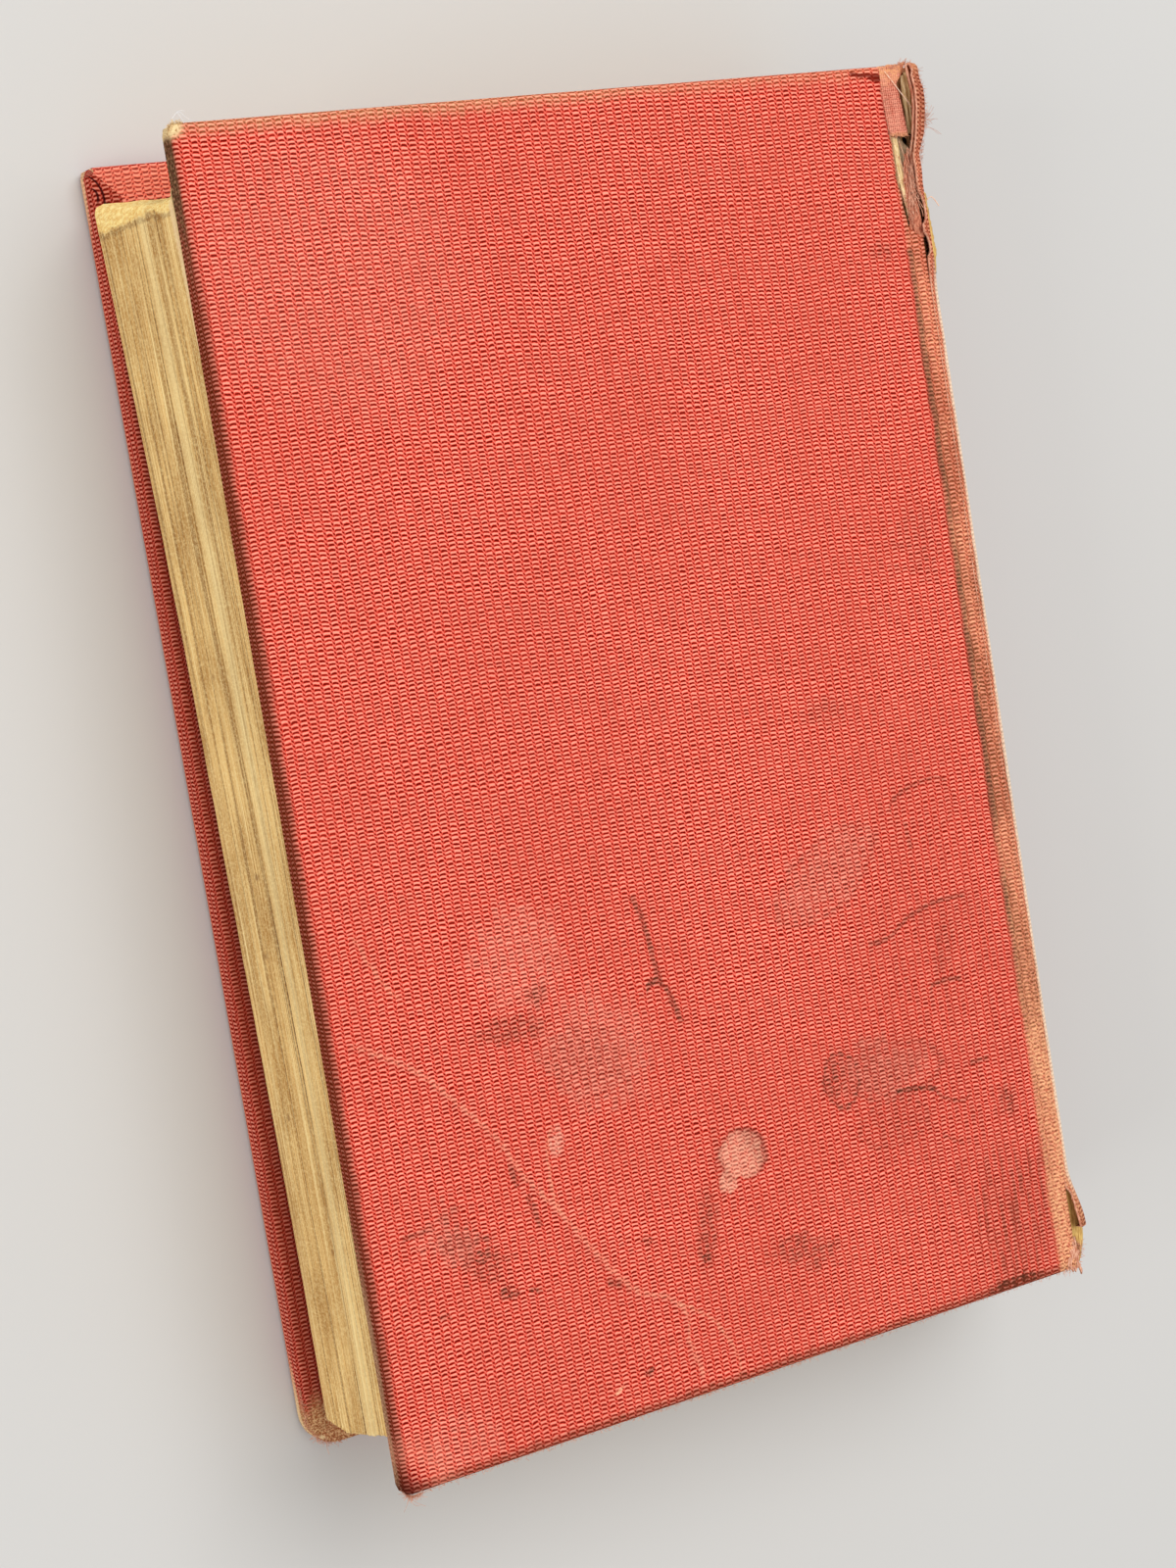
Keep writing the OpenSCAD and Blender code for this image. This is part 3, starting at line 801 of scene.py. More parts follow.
# worn-through spots in the back's cloth, as (mm down, mm across, half length, half width)
holes = [(22.2, 121.1, 1.7, 0.7), (27.6, 120.9, 1.0, 0.7)]


def wrapSpot(kind, share, deep):
    # how far out, how deep and how far along the flat cloth a wrapped point lies
    radius = min(wrap["round"], deep / 2)
    quarter = radius * math.pi / 2
    side = deep - 2 * radius
    if kind == "outer":
        angle = share * math.pi / 2
        return radius * math.sin(angle), radius * (1 - math.cos(angle)), quarter * share
    if kind == "side":
        return radius, radius + side * share, quarter + side * share
    if kind == "inner":
        angle = share * math.pi / 2
        return (radius * math.cos(angle), deep - radius + radius * math.sin(angle),
                quarter * (1 + share) + side)
    under = (wrap["turnIn"] - radius) * share
    return -under, deep, quarter * 2 + side + under


def wrapSteps():
    steps = []
    for kind, count in (("outer", wrap["roundSteps"]), ("side", wrap["sideSteps"]),
                        ("inner", wrap["roundSteps"]), ("under", wrap["turnInSteps"])):
        steps += [(kind, (i + 1) / count) for i in range(count)]
    return steps


def sheetPoint(x, y, depth):
    # a point on the rear cover's cloth, its joint and the start of the shoulder
    if x > book["hinge"]:
        spot = backPoint(x - book["hinge"], depth)
        return Vector((spot.x, y, spot.z))
    sunk = wrap["groove"] * math.exp(-((x - book["hinge"] + wrap["grooveBack"]) / wrap["grooveWide"]) ** 2)
    return Vector((x, y, book["thick"] - depth - sunk))


def deepAt(x):
    full = book["wrapDepth"]
    return full + (wrap["thin"] - full) * ease(x, book["boardEnd"] - 0.3, book["boardEnd"] + 0.5)


def coverSheet(bm, tailCorner, torn):
    layers = bm.verts.layers.float_vector
    flat, base, facing = layers.new("flat"), layers.new("base"), layers.new("facing")
    edge = wrap["round"]
    seamX = book["hinge"] + wrap["seam"]
    across = lineSpots(edge, seamX, wrap["coarse"], wrap["fine"], [0, seamX])
    gridOn(bm, across, linesDown)
    corners = [(book["headCorner"], book["head"], 1), (tailCorner, book["tail"], -1)]
    rim = []
    for vert in bm.verts:
        x, y = vert.co.x, vert.co.y
        atLeft = abs(x - across[0]) < 1e-4
        atHead = abs(y - linesDown[-1]) < 1e-4
        atTail = abs(y - linesDown[0]) < 1e-4
        out = Vector((-1, 0, 0)) if atLeft else Vector((0, 1 if atHead else -1, 0))
        for radius, end, way in corners:
            inner = radius - edge
            px = (radius - x) / inner
            py = (y - (end - way * radius)) * way / inner
            if px > 0 and py > 0:
                scale = max(px, py) / math.hypot(px, py)
                out = Vector((-px, py * way, 0)).normalized()
                x = radius - px * scale * inner
                y = end - way * radius + way * py * scale * inner
        if torn:
            down = book["head"] - y
            limit = between(down, tears["cover"]) if down < 60 else 999
            if down > 150:
                limit = between(down, tears["coverTail"])
            rough = 0.16 * drift(y * 2.1, 3.3) + 0.1 * drift(y * 6.0, 8.1)
            x = min(x, limit + rough)
        vert[base] = (x, y, 0)
        vert[facing] = out
        vert[flat] = (x, book["head"] - y, 0)
        vert.co = sheetPoint(x, y, 0)
        if atLeft or atHead or atTail:
            rim.append(vert)
    marked = set(rim)
    ring = [e for e in bm.edges if e.is_boundary and all(v in marked for v in e.verts)]
    for kind, share in wrapSteps():
        ring, fresh = grow(bm, ring)
        for vert in fresh:
            start, out = vert[base], vert[facing]
            deep = deepAt(start.x)
            far, depth, along = wrapSpot(kind, share, deep)
            spot = start + out * far
            inset = edge - far
            if kind == "under":
                spot = mitred(start, out, inset, tailCorner)
            vert[flat] = (start.x + out.x * along, book["head"] - start.y - out.y * along, 0)
            vert.co = sheetPoint(spot.x, spot.y, depth)
    joinUp(bm)
    writeFlat(bm, flat)
    mapTurnIn(bm)


def mapTurnIn(bm):
    # the turned-in margin is mapped face by face, so the grain meets at the mitre without stretching
    uv = bm.loops.layers.uv["cloth"]
    beyond = turnInStart()
    tall = book["head"] - book["tail"]
    for face in bm.faces:
        if max(abs(v.co.z - book["thick"] + deepAt(v.co.x)) for v in face.verts) > 0.02:
            continue
        middle = face.calc_center_median()
        up, down = book["head"] - middle.y, middle.y - book["tail"]
        for loop in face.loops:
            x, low = loop.vert.co.x, book["head"] - loop.vert.co.y
            if middle.x <= min(up, down):
                loop[uv].uv = (-beyond - x, low)
            elif up < down:
                loop[uv].uv = (x, -beyond - low)
            else:
                loop[uv].uv = (x, tall * 2 + beyond - low)


def turnInStart():
    # length of cloth from a cover's flat outside to the start of its turned-in margin
    return math.pi * wrap["round"] + book["wrapDepth"] - 4 * wrap["round"]


def mitred(start, out, inset, tailCorner):
    # a point of the turned-in margin, kept on its own side of the mitre
    way = 1 if start.y > 0 else -1
    radius = book["headCorner"] if way > 0 else tailCorner
    end = book["head"] if way > 0 else book["tail"]
    if abs(out.x) > 0.01 and abs(out.y) > 0.01:
        if inset > radius:
            return Vector((inset, end - way * inset, 0))
        centre = Vector((radius, end - way * radius, 0))
        return centre + out * (radius - inset)
    spot = start - out * (inset - wrap["round"])
    if inset > radius:
        if abs(out.x) > 0.5:
            limit = abs(end) - inset
            spot.y = max(-limit, min(limit, spot.y)) if abs(spot.y) > limit else spot.y
        else:
            spot.x = max(spot.x, inset)
    return spot


def makeCoverCloth(name, look, tailCorner, torn, turned):
    bm = bmesh.new()
    coverSheet(bm, tailCorner, torn)
    if turned:
        for vert in bm.verts:
            vert.co.z = book["thick"] - vert.co.z
    outward = bm.faces[:]
    bm.normal_update()
    faceSpot = Vector((60, 0, 0 if turned else book["thick"]))
    middle = min(outward, key=lambda f: (f.calc_center_median() - faceSpot).length)
    if (middle.normal.z > 0) == turned:
        bmesh.ops.reverse_faces(bm, faces=outward)
    thing = newObject(name, bm, [look, looks["fray"]])
    thicken(thing, book["cloth"] * wrap["clothShare"], 1)
    hingeX = book["hinge"] * mm + cadLow.x
    start = (hingeX - 0.9 * mm, 0, 0)
    end = (hingeX + wrap["seam"] * 0.9 * mm, 0, 0)
    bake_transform(thing)
    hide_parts("front_cloth" if turned else "rear_cloth")


makeCoverCloth("rearClothSheet", looks["rearCloth"], wrap["tip"], True, False)
makeCoverCloth("frontClothSheet", looks["frontCloth"], book["frontTailCorner"], False, True)
print("cover cloth made")


# Cloth over the back

cameraSpot = Vector((-154.87, 35.11, 398.32))


def seenOver(spot):
    # where the line of sight to a point crosses the level of the rear cover: across, down
    share = (cameraSpot.z - book["thick"]) / (cameraSpot.z - spot.z)
    over = cameraSpot + (spot - cameraSpot) * share
    return over.x, book["head"] - over.y


# how far the torn cloth stands off the back, in mm; at the head as (mm down, mm off)
flap = {
    "head": [(0, 2.2), (4, 2.75), (7, 2.6), (10, 1.9), (14, 0.75), (18, 0.6), (30, 0.6), (36, 0.2)],
    "tail": 1.6,
    "loose": 0.2,        # along the rest of the joint
    "ripple": 0.25,
}


def makeSpineCloth():
    bm = bmesh.new()
    layers = bm.verts.layers.float_vector
    flat, base, facing = layers.new("flat"), layers.new("base"), layers.new("facing")
    across = lineSpots(wrap["seam"], spineRun - wrap["seam"], 1.6, 0.3, [0, spineRun])
    gridOn(bm, across, linesDown)
    rim = set()

    def place(run, y, depth):
        down = book["head"] - y
        curl = between(down, flap["head"])
        curl *= ease(run, 9, 2.6) * ease(down, 150, 60)
        curl += flap["tail"] * ease(down, 174, 183.5) * ease(down, 192, 186) * ease(run, 8, 2.4)
        curl += flap["loose"] * ease(run, 8, 2.5) * ease(run, 0.8, 2.4) * ease(down, 30, 40)
        curl += flap["ripple"] * drift(y * 0.35, run * 0.5, 6.0) * ease(down, 26, 10)
        spot = backPoint(run, depth)
        away = (backPoint(run, 0) - backPoint(run, 1)).normalized()
        return Vector((spot.x, y, spot.z)) + away * curl

    found = {}

    def runSeen(down, over):
        # how far along the cloth the line of sight over a place on the rear cover meets it
        down = round(down, 1)
        if (down, over) not in found:
            seen = [seenOver(place(step * 0.05, book["head"] - down, 0))[0] for step in range(120)]
            found[down, over] = next((step * 0.05 for step, spot in enumerate(seen) if spot >= over), 7.0)
        return found[down, over]

    for vert in bm.verts:
        run, y = vert.co.x, vert.co.y
        down = book["head"] - y
        rough = 0.2 * drift(y * 2.3, 1.3) + 0.12 * drift(y * 6.3, 5.1)
        limit = 0
        if down < 26:
            limit = runSeen(down, between(round(down, 1), tears["spineHead"])) * ease(down, 26, 24.5)
        if down > 176:
            limit = runSeen(down, between(round(down, 1), tears["spineTail"])) * ease(down, 176, 177.5)
        if limit > 0.02:
            run = max(run, limit + rough)
        vert[base] = (run, y, 0)
        atHead = abs(y - linesDown[-1]) < 1e-4
        atTail = abs(y - linesDown[0]) < 1e-4
        vert[facing] = (0, 1 if atHead else -1, 0)
        vert[flat] = (book["hinge"] + run, down, 0)
        vert.co = place(run, y, 0)
        if atHead or atTail:
            rim.add(vert)
    lost = []
    for face in bm.faces:
        spot = sum((v[base] for v in face.verts), Vector()) / len(face.verts)
        for down, over, tall, wide in holes:
            far = math.hypot((book["head"] - spot.y - down) / tall, (spot.x - runSeen(down, over)) / wide)
            if far + 0.3 * drift(spot.y * 3, spot.x * 3, 2.0) < 1:
                lost.append(face)
                break
    worn = {vert for face in lost for vert in face.verts}
    bmesh.ops.delete(bm, geom=lost, context="FACES")
    # the worn holes get rounded edges
    worn = [vert for vert in worn if vert.is_valid]
    for turn in range(4):
        bmesh.ops.smooth_vert(bm, verts=worn, factor=0.5, use_axis_x=True, use_axis_y=True, use_axis_z=True)
    ring = [e for e in bm.edges if e.is_boundary and all(v in rim for v in e.verts)]
    for kind, share in wrapSteps():
        ring, fresh = grow(bm, ring)
        for vert in fresh:
            start, out = vert[base], vert[facing]
            far, depth, along = wrapSpot(kind, share, wrap["thin"])
            vert[flat] = (book["hinge"] + start.x, book["head"] - start.y - out.y * along, 0)
            vert.co = place(start.x, start.y + out.y * far, depth)
    joinUp(bm)
    bm.normal_update()
    middle = max(bm.faces, key=lambda f: f.calc_center_median().x - abs(f.calc_center_median().y) * 0.01)
    if middle.normal.x < 0:
        bmesh.ops.reverse_faces(bm, faces=bm.faces[:])
    writeFlat(bm, flat)
    thing = newObject("spineClothSheet", bm, [looks["spineCloth"], looks["fray"]])
    thicken(thing, book["cloth"] * wrap["clothShare"], 1)
    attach(thing, "text_block")
    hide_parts("spine_cloth")


makeSpineCloth()
print("spine cloth made")


# Layers laid bare where the rear joint is torn

def seenAt(across, down, low):
    # a point seen over a place on the rear cover, and low mm under the cover's face
    over = Vector((across, book["head"] - down, book["thick"]))
    return over + (over - cameraSpot) * (low / (cameraSpot.z - book["thick"]))


strips = {
    # each edge is (mm down, mm across, mm under the cover's face)
    "tornTab": {
        "left": [(0.1, 116.4, 0.06), (4, 116.3, 0.06), (10.6, 116.9, 0.1)],
        "right": [(-0.2, 121.7, 0.9), (1.6, 120.6, 0.35), (2.8, 119.5, 0.12), (6, 119.9, 0.12),
                  (10.9, 120.3, 0.16)],
        "look": "tabCloth", "thick": 0.38, "steps": (14, 40), "rough": 0.12, "slot": "book_cloth"},
    "hingePaper": {
        "left": [(10.8, 116.9, 0.5), (14.7, 117.0, 0.5), (17, 117.2, 0.5), (23, 118.0, 0.5)],
        "right": [(10.8, 118.1, 0.6), (14.7, 118.2, 0.6), (17, 118.3, 0.6), (23, 118.5, 0.6)],
        "look": "palePaper", "thick": 0.12, "steps": (6, 40), "rough": 0.14, "slot": "endpaper"},
    # a near-black sheet standing in for the shadow down the hole into the back's hollow: painted shadow
    "shadowedLining": {
        "left": [(9.6, 117.6, 1.9), (12.4, 117.8, 1.9), (20, 118.4, 1.2)],
        "right": [(9.6, 121.6, 3.6), (12.4, 121.2, 3.4), (20, 119.8, 1.6)],
        "look": "darkPaper", "thick": 0.1, "steps": (6, 30), "rough": 0.1, "slot": "lining_paper"},
    # the mull flap, its paper greyed as painted shade
    "mullFlap": {
        "left": [(10.6, 118.0, 0.9), (13, 118.1, 0.9), (19, 118.5, 0.7)],
        "right": [(10.6, 118.6, 1.2), (11.8, 119.0, 1.0), (12.6, 120.0, 0.9), (14.5, 120.3, 0.8),
                  (19, 119.5, 0.7)],
        "look": "greyPaper", "thick": 0.15, "steps": (8, 40), "rough": 0.2, "slot": "lining_paper"},
    "tornFibres": {
        "left": [(13.4, 119.3, 0.7), (15, 118.7, 0.55), (17.5, 118.3, 0.45), (21, 118.2, 0.4),
                 (26.4, 118.0, 0.35)],
        "right": [(13.4, 120.6, 1.0), (15, 120.5, 0.9), (17.5, 120.2, 0.8), (21, 120.2, 0.7),
                  (26.4, 120.6, 0.6)],
        "look": "tornFibres", "thick": 0.2, "steps": (14, 60), "rough": 0.22, "slot": "book_cloth"},
    "liningEdgeOne": {
        "left": [(1.6, 120.4, 0.8), (5, 120.2, 0.9), (10.5, 120.3, 1.2)],
        "right": [(1.6, 121.0, 0.5), (5, 121.0, 0.5), (10.5, 120.7, 0.9)],
        "look": "palePaper", "thick": 0.15, "steps": (4, 40), "rough": 0.08, "slot": "lining_paper"},
    "liningEdgeTwo": {
        "left": [(1.2, 121.0, 1.1), (5, 121.0, 1.2), (10.7, 120.7, 1.6)],
        "right": [(1.2, 121.6, 0.7), (5, 121.7, 0.7), (10.7, 121.1, 1.1)],
        "look": "palePaper", "thick": 0.2, "steps": (4, 40), "rough": 0.1, "slot": "lining_paper"},
    "liningEdgeThree": {
        "left": [(0.9, 121.5, 1.4), (5, 121.7, 1.5), (10.9, 121.0, 1.9)],
        "right": [(0.9, 122.3, 0.9), (5, 122.6, 0.9), (10.9, 121.5, 1.3)],
        "look": "lining", "thick": 0.2, "steps": (4, 40), "rough": 0.12, "slot": "lining_paper"},
    "mullEdge": {
        "left": [(19.6, 121.2, 1.9), (24, 121.3, 2.0), (31.5, 121.4, 2.2)],
        "right": [(19.8, 121.9, 2.6), (24, 122.1, 2.6), (28.6, 122.3, 2.7), (32, 121.7, 2.7)],
        "look": "lining", "thick": 0.35, "steps": (5, 50), "rough": 0.16, "slot": "gauze"},
    "tailLining": {
        "left": [(176.8, 120.0, 0.9), (181, 120.1, 1.0), (184, 120.0, 1.1), (187, 119.8, 1.2),
                 (189, 119.8, 1.2)],
        "right": [(176.8, 121.4, 0.9), (181, 121.9, 1.2), (184, 122.4, 1.6), (186, 122.1, 1.8),
                  (189, 120.9, 1.9)],
        "look": "lining", "thick": 0.3, "steps": (5, 40), "rough": 0.12, "slot": "lining_paper"},
    "tailTuft": {
        "left": [(185.5, 119.8, 0.1), (187.5, 119.2, -0.1), (190.0, 118.2, 0.1)],
        "right": [(185.5, 120.6, 0.1), (187.5, 120.9, 0.0), (190.3, 120.9, 0.4)],
        "look": "fray", "thick": 0.3, "steps": (18, 30), "rough": 0.6, "slot": "book_cloth"},
}


def strip(name, spec):
    bm = bmesh.new()
    flat = bm.verts.layers.float_vector.new("flat")
    wide, long = spec["steps"]
    bmesh.ops.create_grid(bm, x_segments=wide, y_segments=long, size=0.5)
    for vert in bm.verts:
        side, along = vert.co.x + 0.5, 0.5 - vert.co.y
        edges = []
        for edge in ("left", "right"):
            line = spec[edge]
            down = line[0][0] + along * (line[-1][0] - line[0][0])
            edges.append(Vector((between(down, [(p[0], p[1]) for p in line]), down,
                                 between(down, [(p[0], p[2]) for p in line]))))
        spot = edges[0].lerp(edges[1], side)
        seed = len(name) * 3.7
        spot.x += spec["rough"] * drift(spot.y * 1.9, side * 3, seed) * abs(side * 2 - 1)
        spot.y += spec["rough"] * 2 * drift(side * 9, along * 5, seed) * abs(along * 2 - 1) ** 4
        spot.z += 0.12 * drift(side * 3, spot.y * 0.6, seed + 4)
        vert[flat] = (spot.x, spot.y, 0)
        vert.co = seenAt(spot.x, spot.y, spot.z)
    bmesh.ops.recalc_face_normals(bm, faces=bm.faces)
    bm.normal_update()
    if sum(face.normal.z for face in bm.faces) < 0:
        bmesh.ops.reverse_faces(bm, faces=bm.faces[:])
    writeFlat(bm, flat)
    thing = newObject(name, bm, [looks[spec["look"]]])
    thicken(thing, spec["thick"])
    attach(thing, spec.get("body", "text_block"))


for name, spec in strips.items():
    strip(name, spec)
print("torn layers made")


# Loose threads and frayed edges

def threads(name, body, strands, look, thick):
    # each strand is a list of points; all of them become one mesh of fine tubes
    curve = bpy.data.curves.new(name, "CURVE")
    curve.dimensions = "3D"
    curve.bevel_depth = thick / 2 * mm
    curve.bevel_resolution = 1
    curve.resolution_u = 3
    for strand in strands:
        line = curve.splines.new("NURBS")
        line.points.add(len(strand) - 1)
        for point, spot in zip(line.points, strand):
            point.co = (spot.x * mm + cadLow.x, spot.y * mm, spot.z * mm, 1)
        line.order_u = 3
        line.use_endpoint_u = True
    drawn = bpy.data.objects.new(name + "Curve", curve)
    bpy.context.scene.collection.objects.link(drawn)
    bpy.context.view_layer.update()
    mesh = bpy.data.meshes.new_from_object(drawn.evaluated_get(bpy.context.evaluated_depsgraph_get()))
    bpy.data.objects.remove(drawn)
    mesh.name = name
    mesh.materials.clear()
    mesh.materials.append(looks[look])
    thing = bpy.data.objects.new(name, mesh)
    bpy.context.scene.collection.objects.link(thing)
    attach(thing, body)


def fray(spots, count, length, away, seed, spread=0.7):
    # short curling strands that start along a line of points
    random.seed(seed)
    strands = []
    for i in range(count):
        share = random.random() * (len(spots) - 1)
        k = min(int(share), len(spots) - 2)
        start = spots[k].lerp(spots[k + 1], share - k)
        heading = Vector(away) + Vector([random.uniform(-spread, spread) for axis in range(3)])
        heading.normalize()
        step = (0.3 + length * random.random() ** 2) / 4
        bend = Vector([random.uniform(-1, 1) for axis in range(3)]) * 1.3
        spot = start - heading * 0.3
        line = [spot]
        for j in range(5):
            heading = (heading + bend * 0.5).normalized()
            spot = spot + heading * step
            line.append(spot)
        strands.append(line)
    return strands


def seenLine(*spots):
    return [seenAt(*spot) for spot in spots]


frayThick = 0.045        # mm
jointStrands = [
    seenLine((117.6, 0.9, 0.0), (118.3, 1.8, -0.1), (119.0, 2.8, -0.1), (120.2, 4.5, 0.0),
             (121.2, 5.7, 0.1), (121.7, 6.6, 0.3)),
    seenLine((118.3, 11.5, 0.7), (118.7, 13, 0.5), (119.1, 14.6, 0.5), (119.3, 16.5, 0.5),
             (119.2, 19, 0.5)),
    seenLine((117.9, 13.8, 0.4), (118.4, 16, 0.3), (118.7, 18, 0.3), (118.8, 21, 0.35)),
    seenLine((118.9, 15.2, 0.4), (119.3, 17, 0.2), (119.4, 19.5, 0.2), (119.5, 22.5, 0.3)),
    seenLine((119.9, 15.2, 0.3), (119.5, 16.6, 0.15), (119.4, 18.5, 0.15), (119.7, 20.4, 0.2)),
    seenLine((121.0, 13.0, 0.4), (120.5, 15.5, 0.3), (119.9, 16.8, 0.2), (119.6, 18.2, 0.2)),
    seenLine((121.9, 20.9, 1.4), (122.5, 20.4, 1.2), (123.2, 20.4, 1.0), (124.1, 21.9, 1.1)),
]
threads("jointThreads", "text_block", jointStrands[:1] + jointStrands[-1:], "paleThread", 0.15)
gapStrands = []
random.seed(31)
for i in range(46):
    start, turn = random.uniform(12.5, 21), random.uniform(-0.35, 0.35)
    side = between(start, [(12, 120.2), (21, 119.4)]) + random.uniform(-1.1, 0.9)
    length = random.uniform(1.5, 5.0)
    gapStrands.append(seenLine(*[(side + turn * k + random.uniform(-0.2, 0.2), start + length * k / 4,
                                  0.25 + random.uniform(-0.15, 0.3)) for k in range(5)]))
threads("gapThreads", "text_block", jointStrands[1:-1] + gapStrands, "fray", 0.1)

flapEdge = seenLine((123.6, 1.2, 1.2), (124.2, 3.0, 1.3), (124.4, 5.5, 1.3), (124.1, 8.0, 1.4),
                    (123.4, 10, 1.5), (122.6, 12.5, 1.5), (122.0, 15, 1.5))
headTop = seenLine((118.2, 0.5, 0.4), (119.6, 0.0, 0.5), (121.5, -0.2, 0.9), (123.0, 0.4, 1.4),
                   (123.8, 1.4, 1.6))
coverTear = seenLine((116.7, 2, 0.1), (116.6, 8, 0.1), (117.0, 12, 0.1), (117.0, 17, 0.1), (118.2, 22, 0.1),
                     (119.0, 25, 0.2))
tailEdge = seenLine((121.0, 186, 0.7), (120.9, 188, 0.7), (119.2, 189.6, 0.5), (117.6, 189.6, 0.4))
flapInside = seenLine((122.9, 1.4, 0.9), (122.8, 4.4, 0.9), (122.4, 7.0, 0.9), (121.4, 10.9, 0.8),
                      (120.4, 12.9, 0.6), (120.0, 16.2, 0.4), (119.4, 20.3, 0.3))
tabFoot = seenLine((117.2, 10.7, 0.15), (118.6, 10.8, 0.1), (120.2, 10.9, 0.15))
frays = fray(flapEdge, 220, 0.5, (0.8, 0.1, 0.5), 21, 1.2)
frays += fray(headTop, 220, 0.7, (0.1, 0.9, 0.5), 22, 1.0)
frays += fray(flapEdge[3:5], 40, 2.4, (0.9, 0.4, 0.4), 23, 0.4)
frays += fray(flapInside, 270, 0.6, (-0.5, 0.1, 0.7), 26, 1.2)
frays += fray(tabFoot, 50, 0.4, (0, -0.8, 0.3), 27, 0.9)
frays += fray(tailEdge, 340, 1.0, (0.2, -0.8, 0.3), 24, 1.1)
threads("spineFrays", "text_block", frays, "fray", frayThick)
threads("coverFrays", "rear_cover", fray(coverTear, 300, 0.5, (0.7, 0.0, 0.5), 25, 1.1), "fray", frayThick)
tipLine = seenLine((-0.1, 187.2, 1.8), (0.0, 189.3, 1.2), (0.5, 190.2, 0.8), (2.2, 190.2, 0.6))
headTip = seenLine((-0.3, 2.6, 1.6), (-0.3, 0.8, 0.8), (0.2, 0.1, 0.5), (1.8, 0.0, 0.3))
lowEdge = seenLine((1, 190.1, 0.5), (40, 190.1, 0.5), (80, 190.1, 0.5), (117, 189.9, 0.5))
cornerTufts = fray(tipLine, 220, 0.8, (-0.3, -0.8, 0.1), 41, 0.9)
cornerTufts += fray(tipLine[1:3], 10, 2.6, (-0.1, -0.9, 0.1), 42, 0.5)
cornerTufts += fray(lowEdge, 500, 0.3, (0, -0.7, 0.3), 44, 1.0)
threads("cornerTufts", "rear_cover", cornerTufts, "fray", frayThick)
lint = [seenLine((0.5, -0.5, 0.3), (1.2, -1.3, 0.2), (1.8, -1.4, 0.1), (2.2, -0.9, 0.0), (2.7, -0.4, 0.0),
                 (3.3, -0.1, 0.0)),
        seenLine((1.3, -1.3, 0.2), (1.9, -1.7, 0.2), (2.5, -1.4, 0.1)),
        seenLine((1.4, -1.3, 0.2), (1.9, -0.6, 0.1), (2.1, 0.2, 0.0))]
threads("headLint", "rear_cover", lint, "lint", 0.05)
frontCorner = seenLine((-12.9, 170.6, 32.5), (-12.8, 175.3, 32.5), (-11.6, 177.9, 32.5),
                       (-10.3, 179.0, 32.5), (-7.5, 179.2, 32.5))
frontTufts = fray(frontCorner, 200, 0.7, (-0.5, -0.7, 0.2), 45, 0.8)
frontTufts += [seenLine((-10.4, 177.2, 32.2), (-10.2, 178.4, 32.0), (-10.4, 179.6, 32.2),
                        (-10.2, 180.6, 32.4))]
threads("frontTufts", "front_cover", frontTufts, "fray", 0.06)
threads("headTuft", "rear_cover", fray(headTip, 200, 0.4, (-0.5, 0.4, 0.5), 43, 1.2), "palePaper", 0.05)
print("threads made")


# The pages

leaves = {
    "bundles": 108,      # bundles of leaves that show as one line each
    "section": 6,        # bundles in a sewn section
    "recessHead": 0.2,
    "recessTail": 3.4,
    "corner": 1.3,
    # mm that the leaves stop short at the head and run on at the tail,
    # from the front leaf (-1) to the rear (1)
    "headSkew": [(-1, 0), (-0.5, 1.1), (-0.16, 1.7), (0.65, 3.1), (1, 3.4)],
    "tailSkew": [(-1, 0.7), (-0.55, 1.7), (-0.07, 0.7), (0.44, -0.5), (1, -1.0)],
    "loose": 0.07,       # mm that a bundle's edge may stand in or out
    "fold": 0.10,        # mm that a section's first bundle stands in
    "seed": 11,
}


def recess(y):
    share = (book["pageHead"] - y) / (book["pageHead"] - book["pageTail"])
    return leaves["recessHead"] + (leaves["recessTail"] - leaves["recessHead"]) * (1 - (1 - share) ** 2)


def backEdge(rise):
    # how far back a leaf reaches at a height above the middle of the book
    rise = abs(rise)
    small = book["shoulder"] - book["sectionsIn"]
    large = backRadius - book["sectionsIn"]
    if rise < large * math.sin(backAngle):
        return backX + math.sqrt(large ** 2 - rise ** 2)
    return book["hinge"] + math.sqrt(max(0.0, small ** 2 - (rise - halfBack) ** 2))


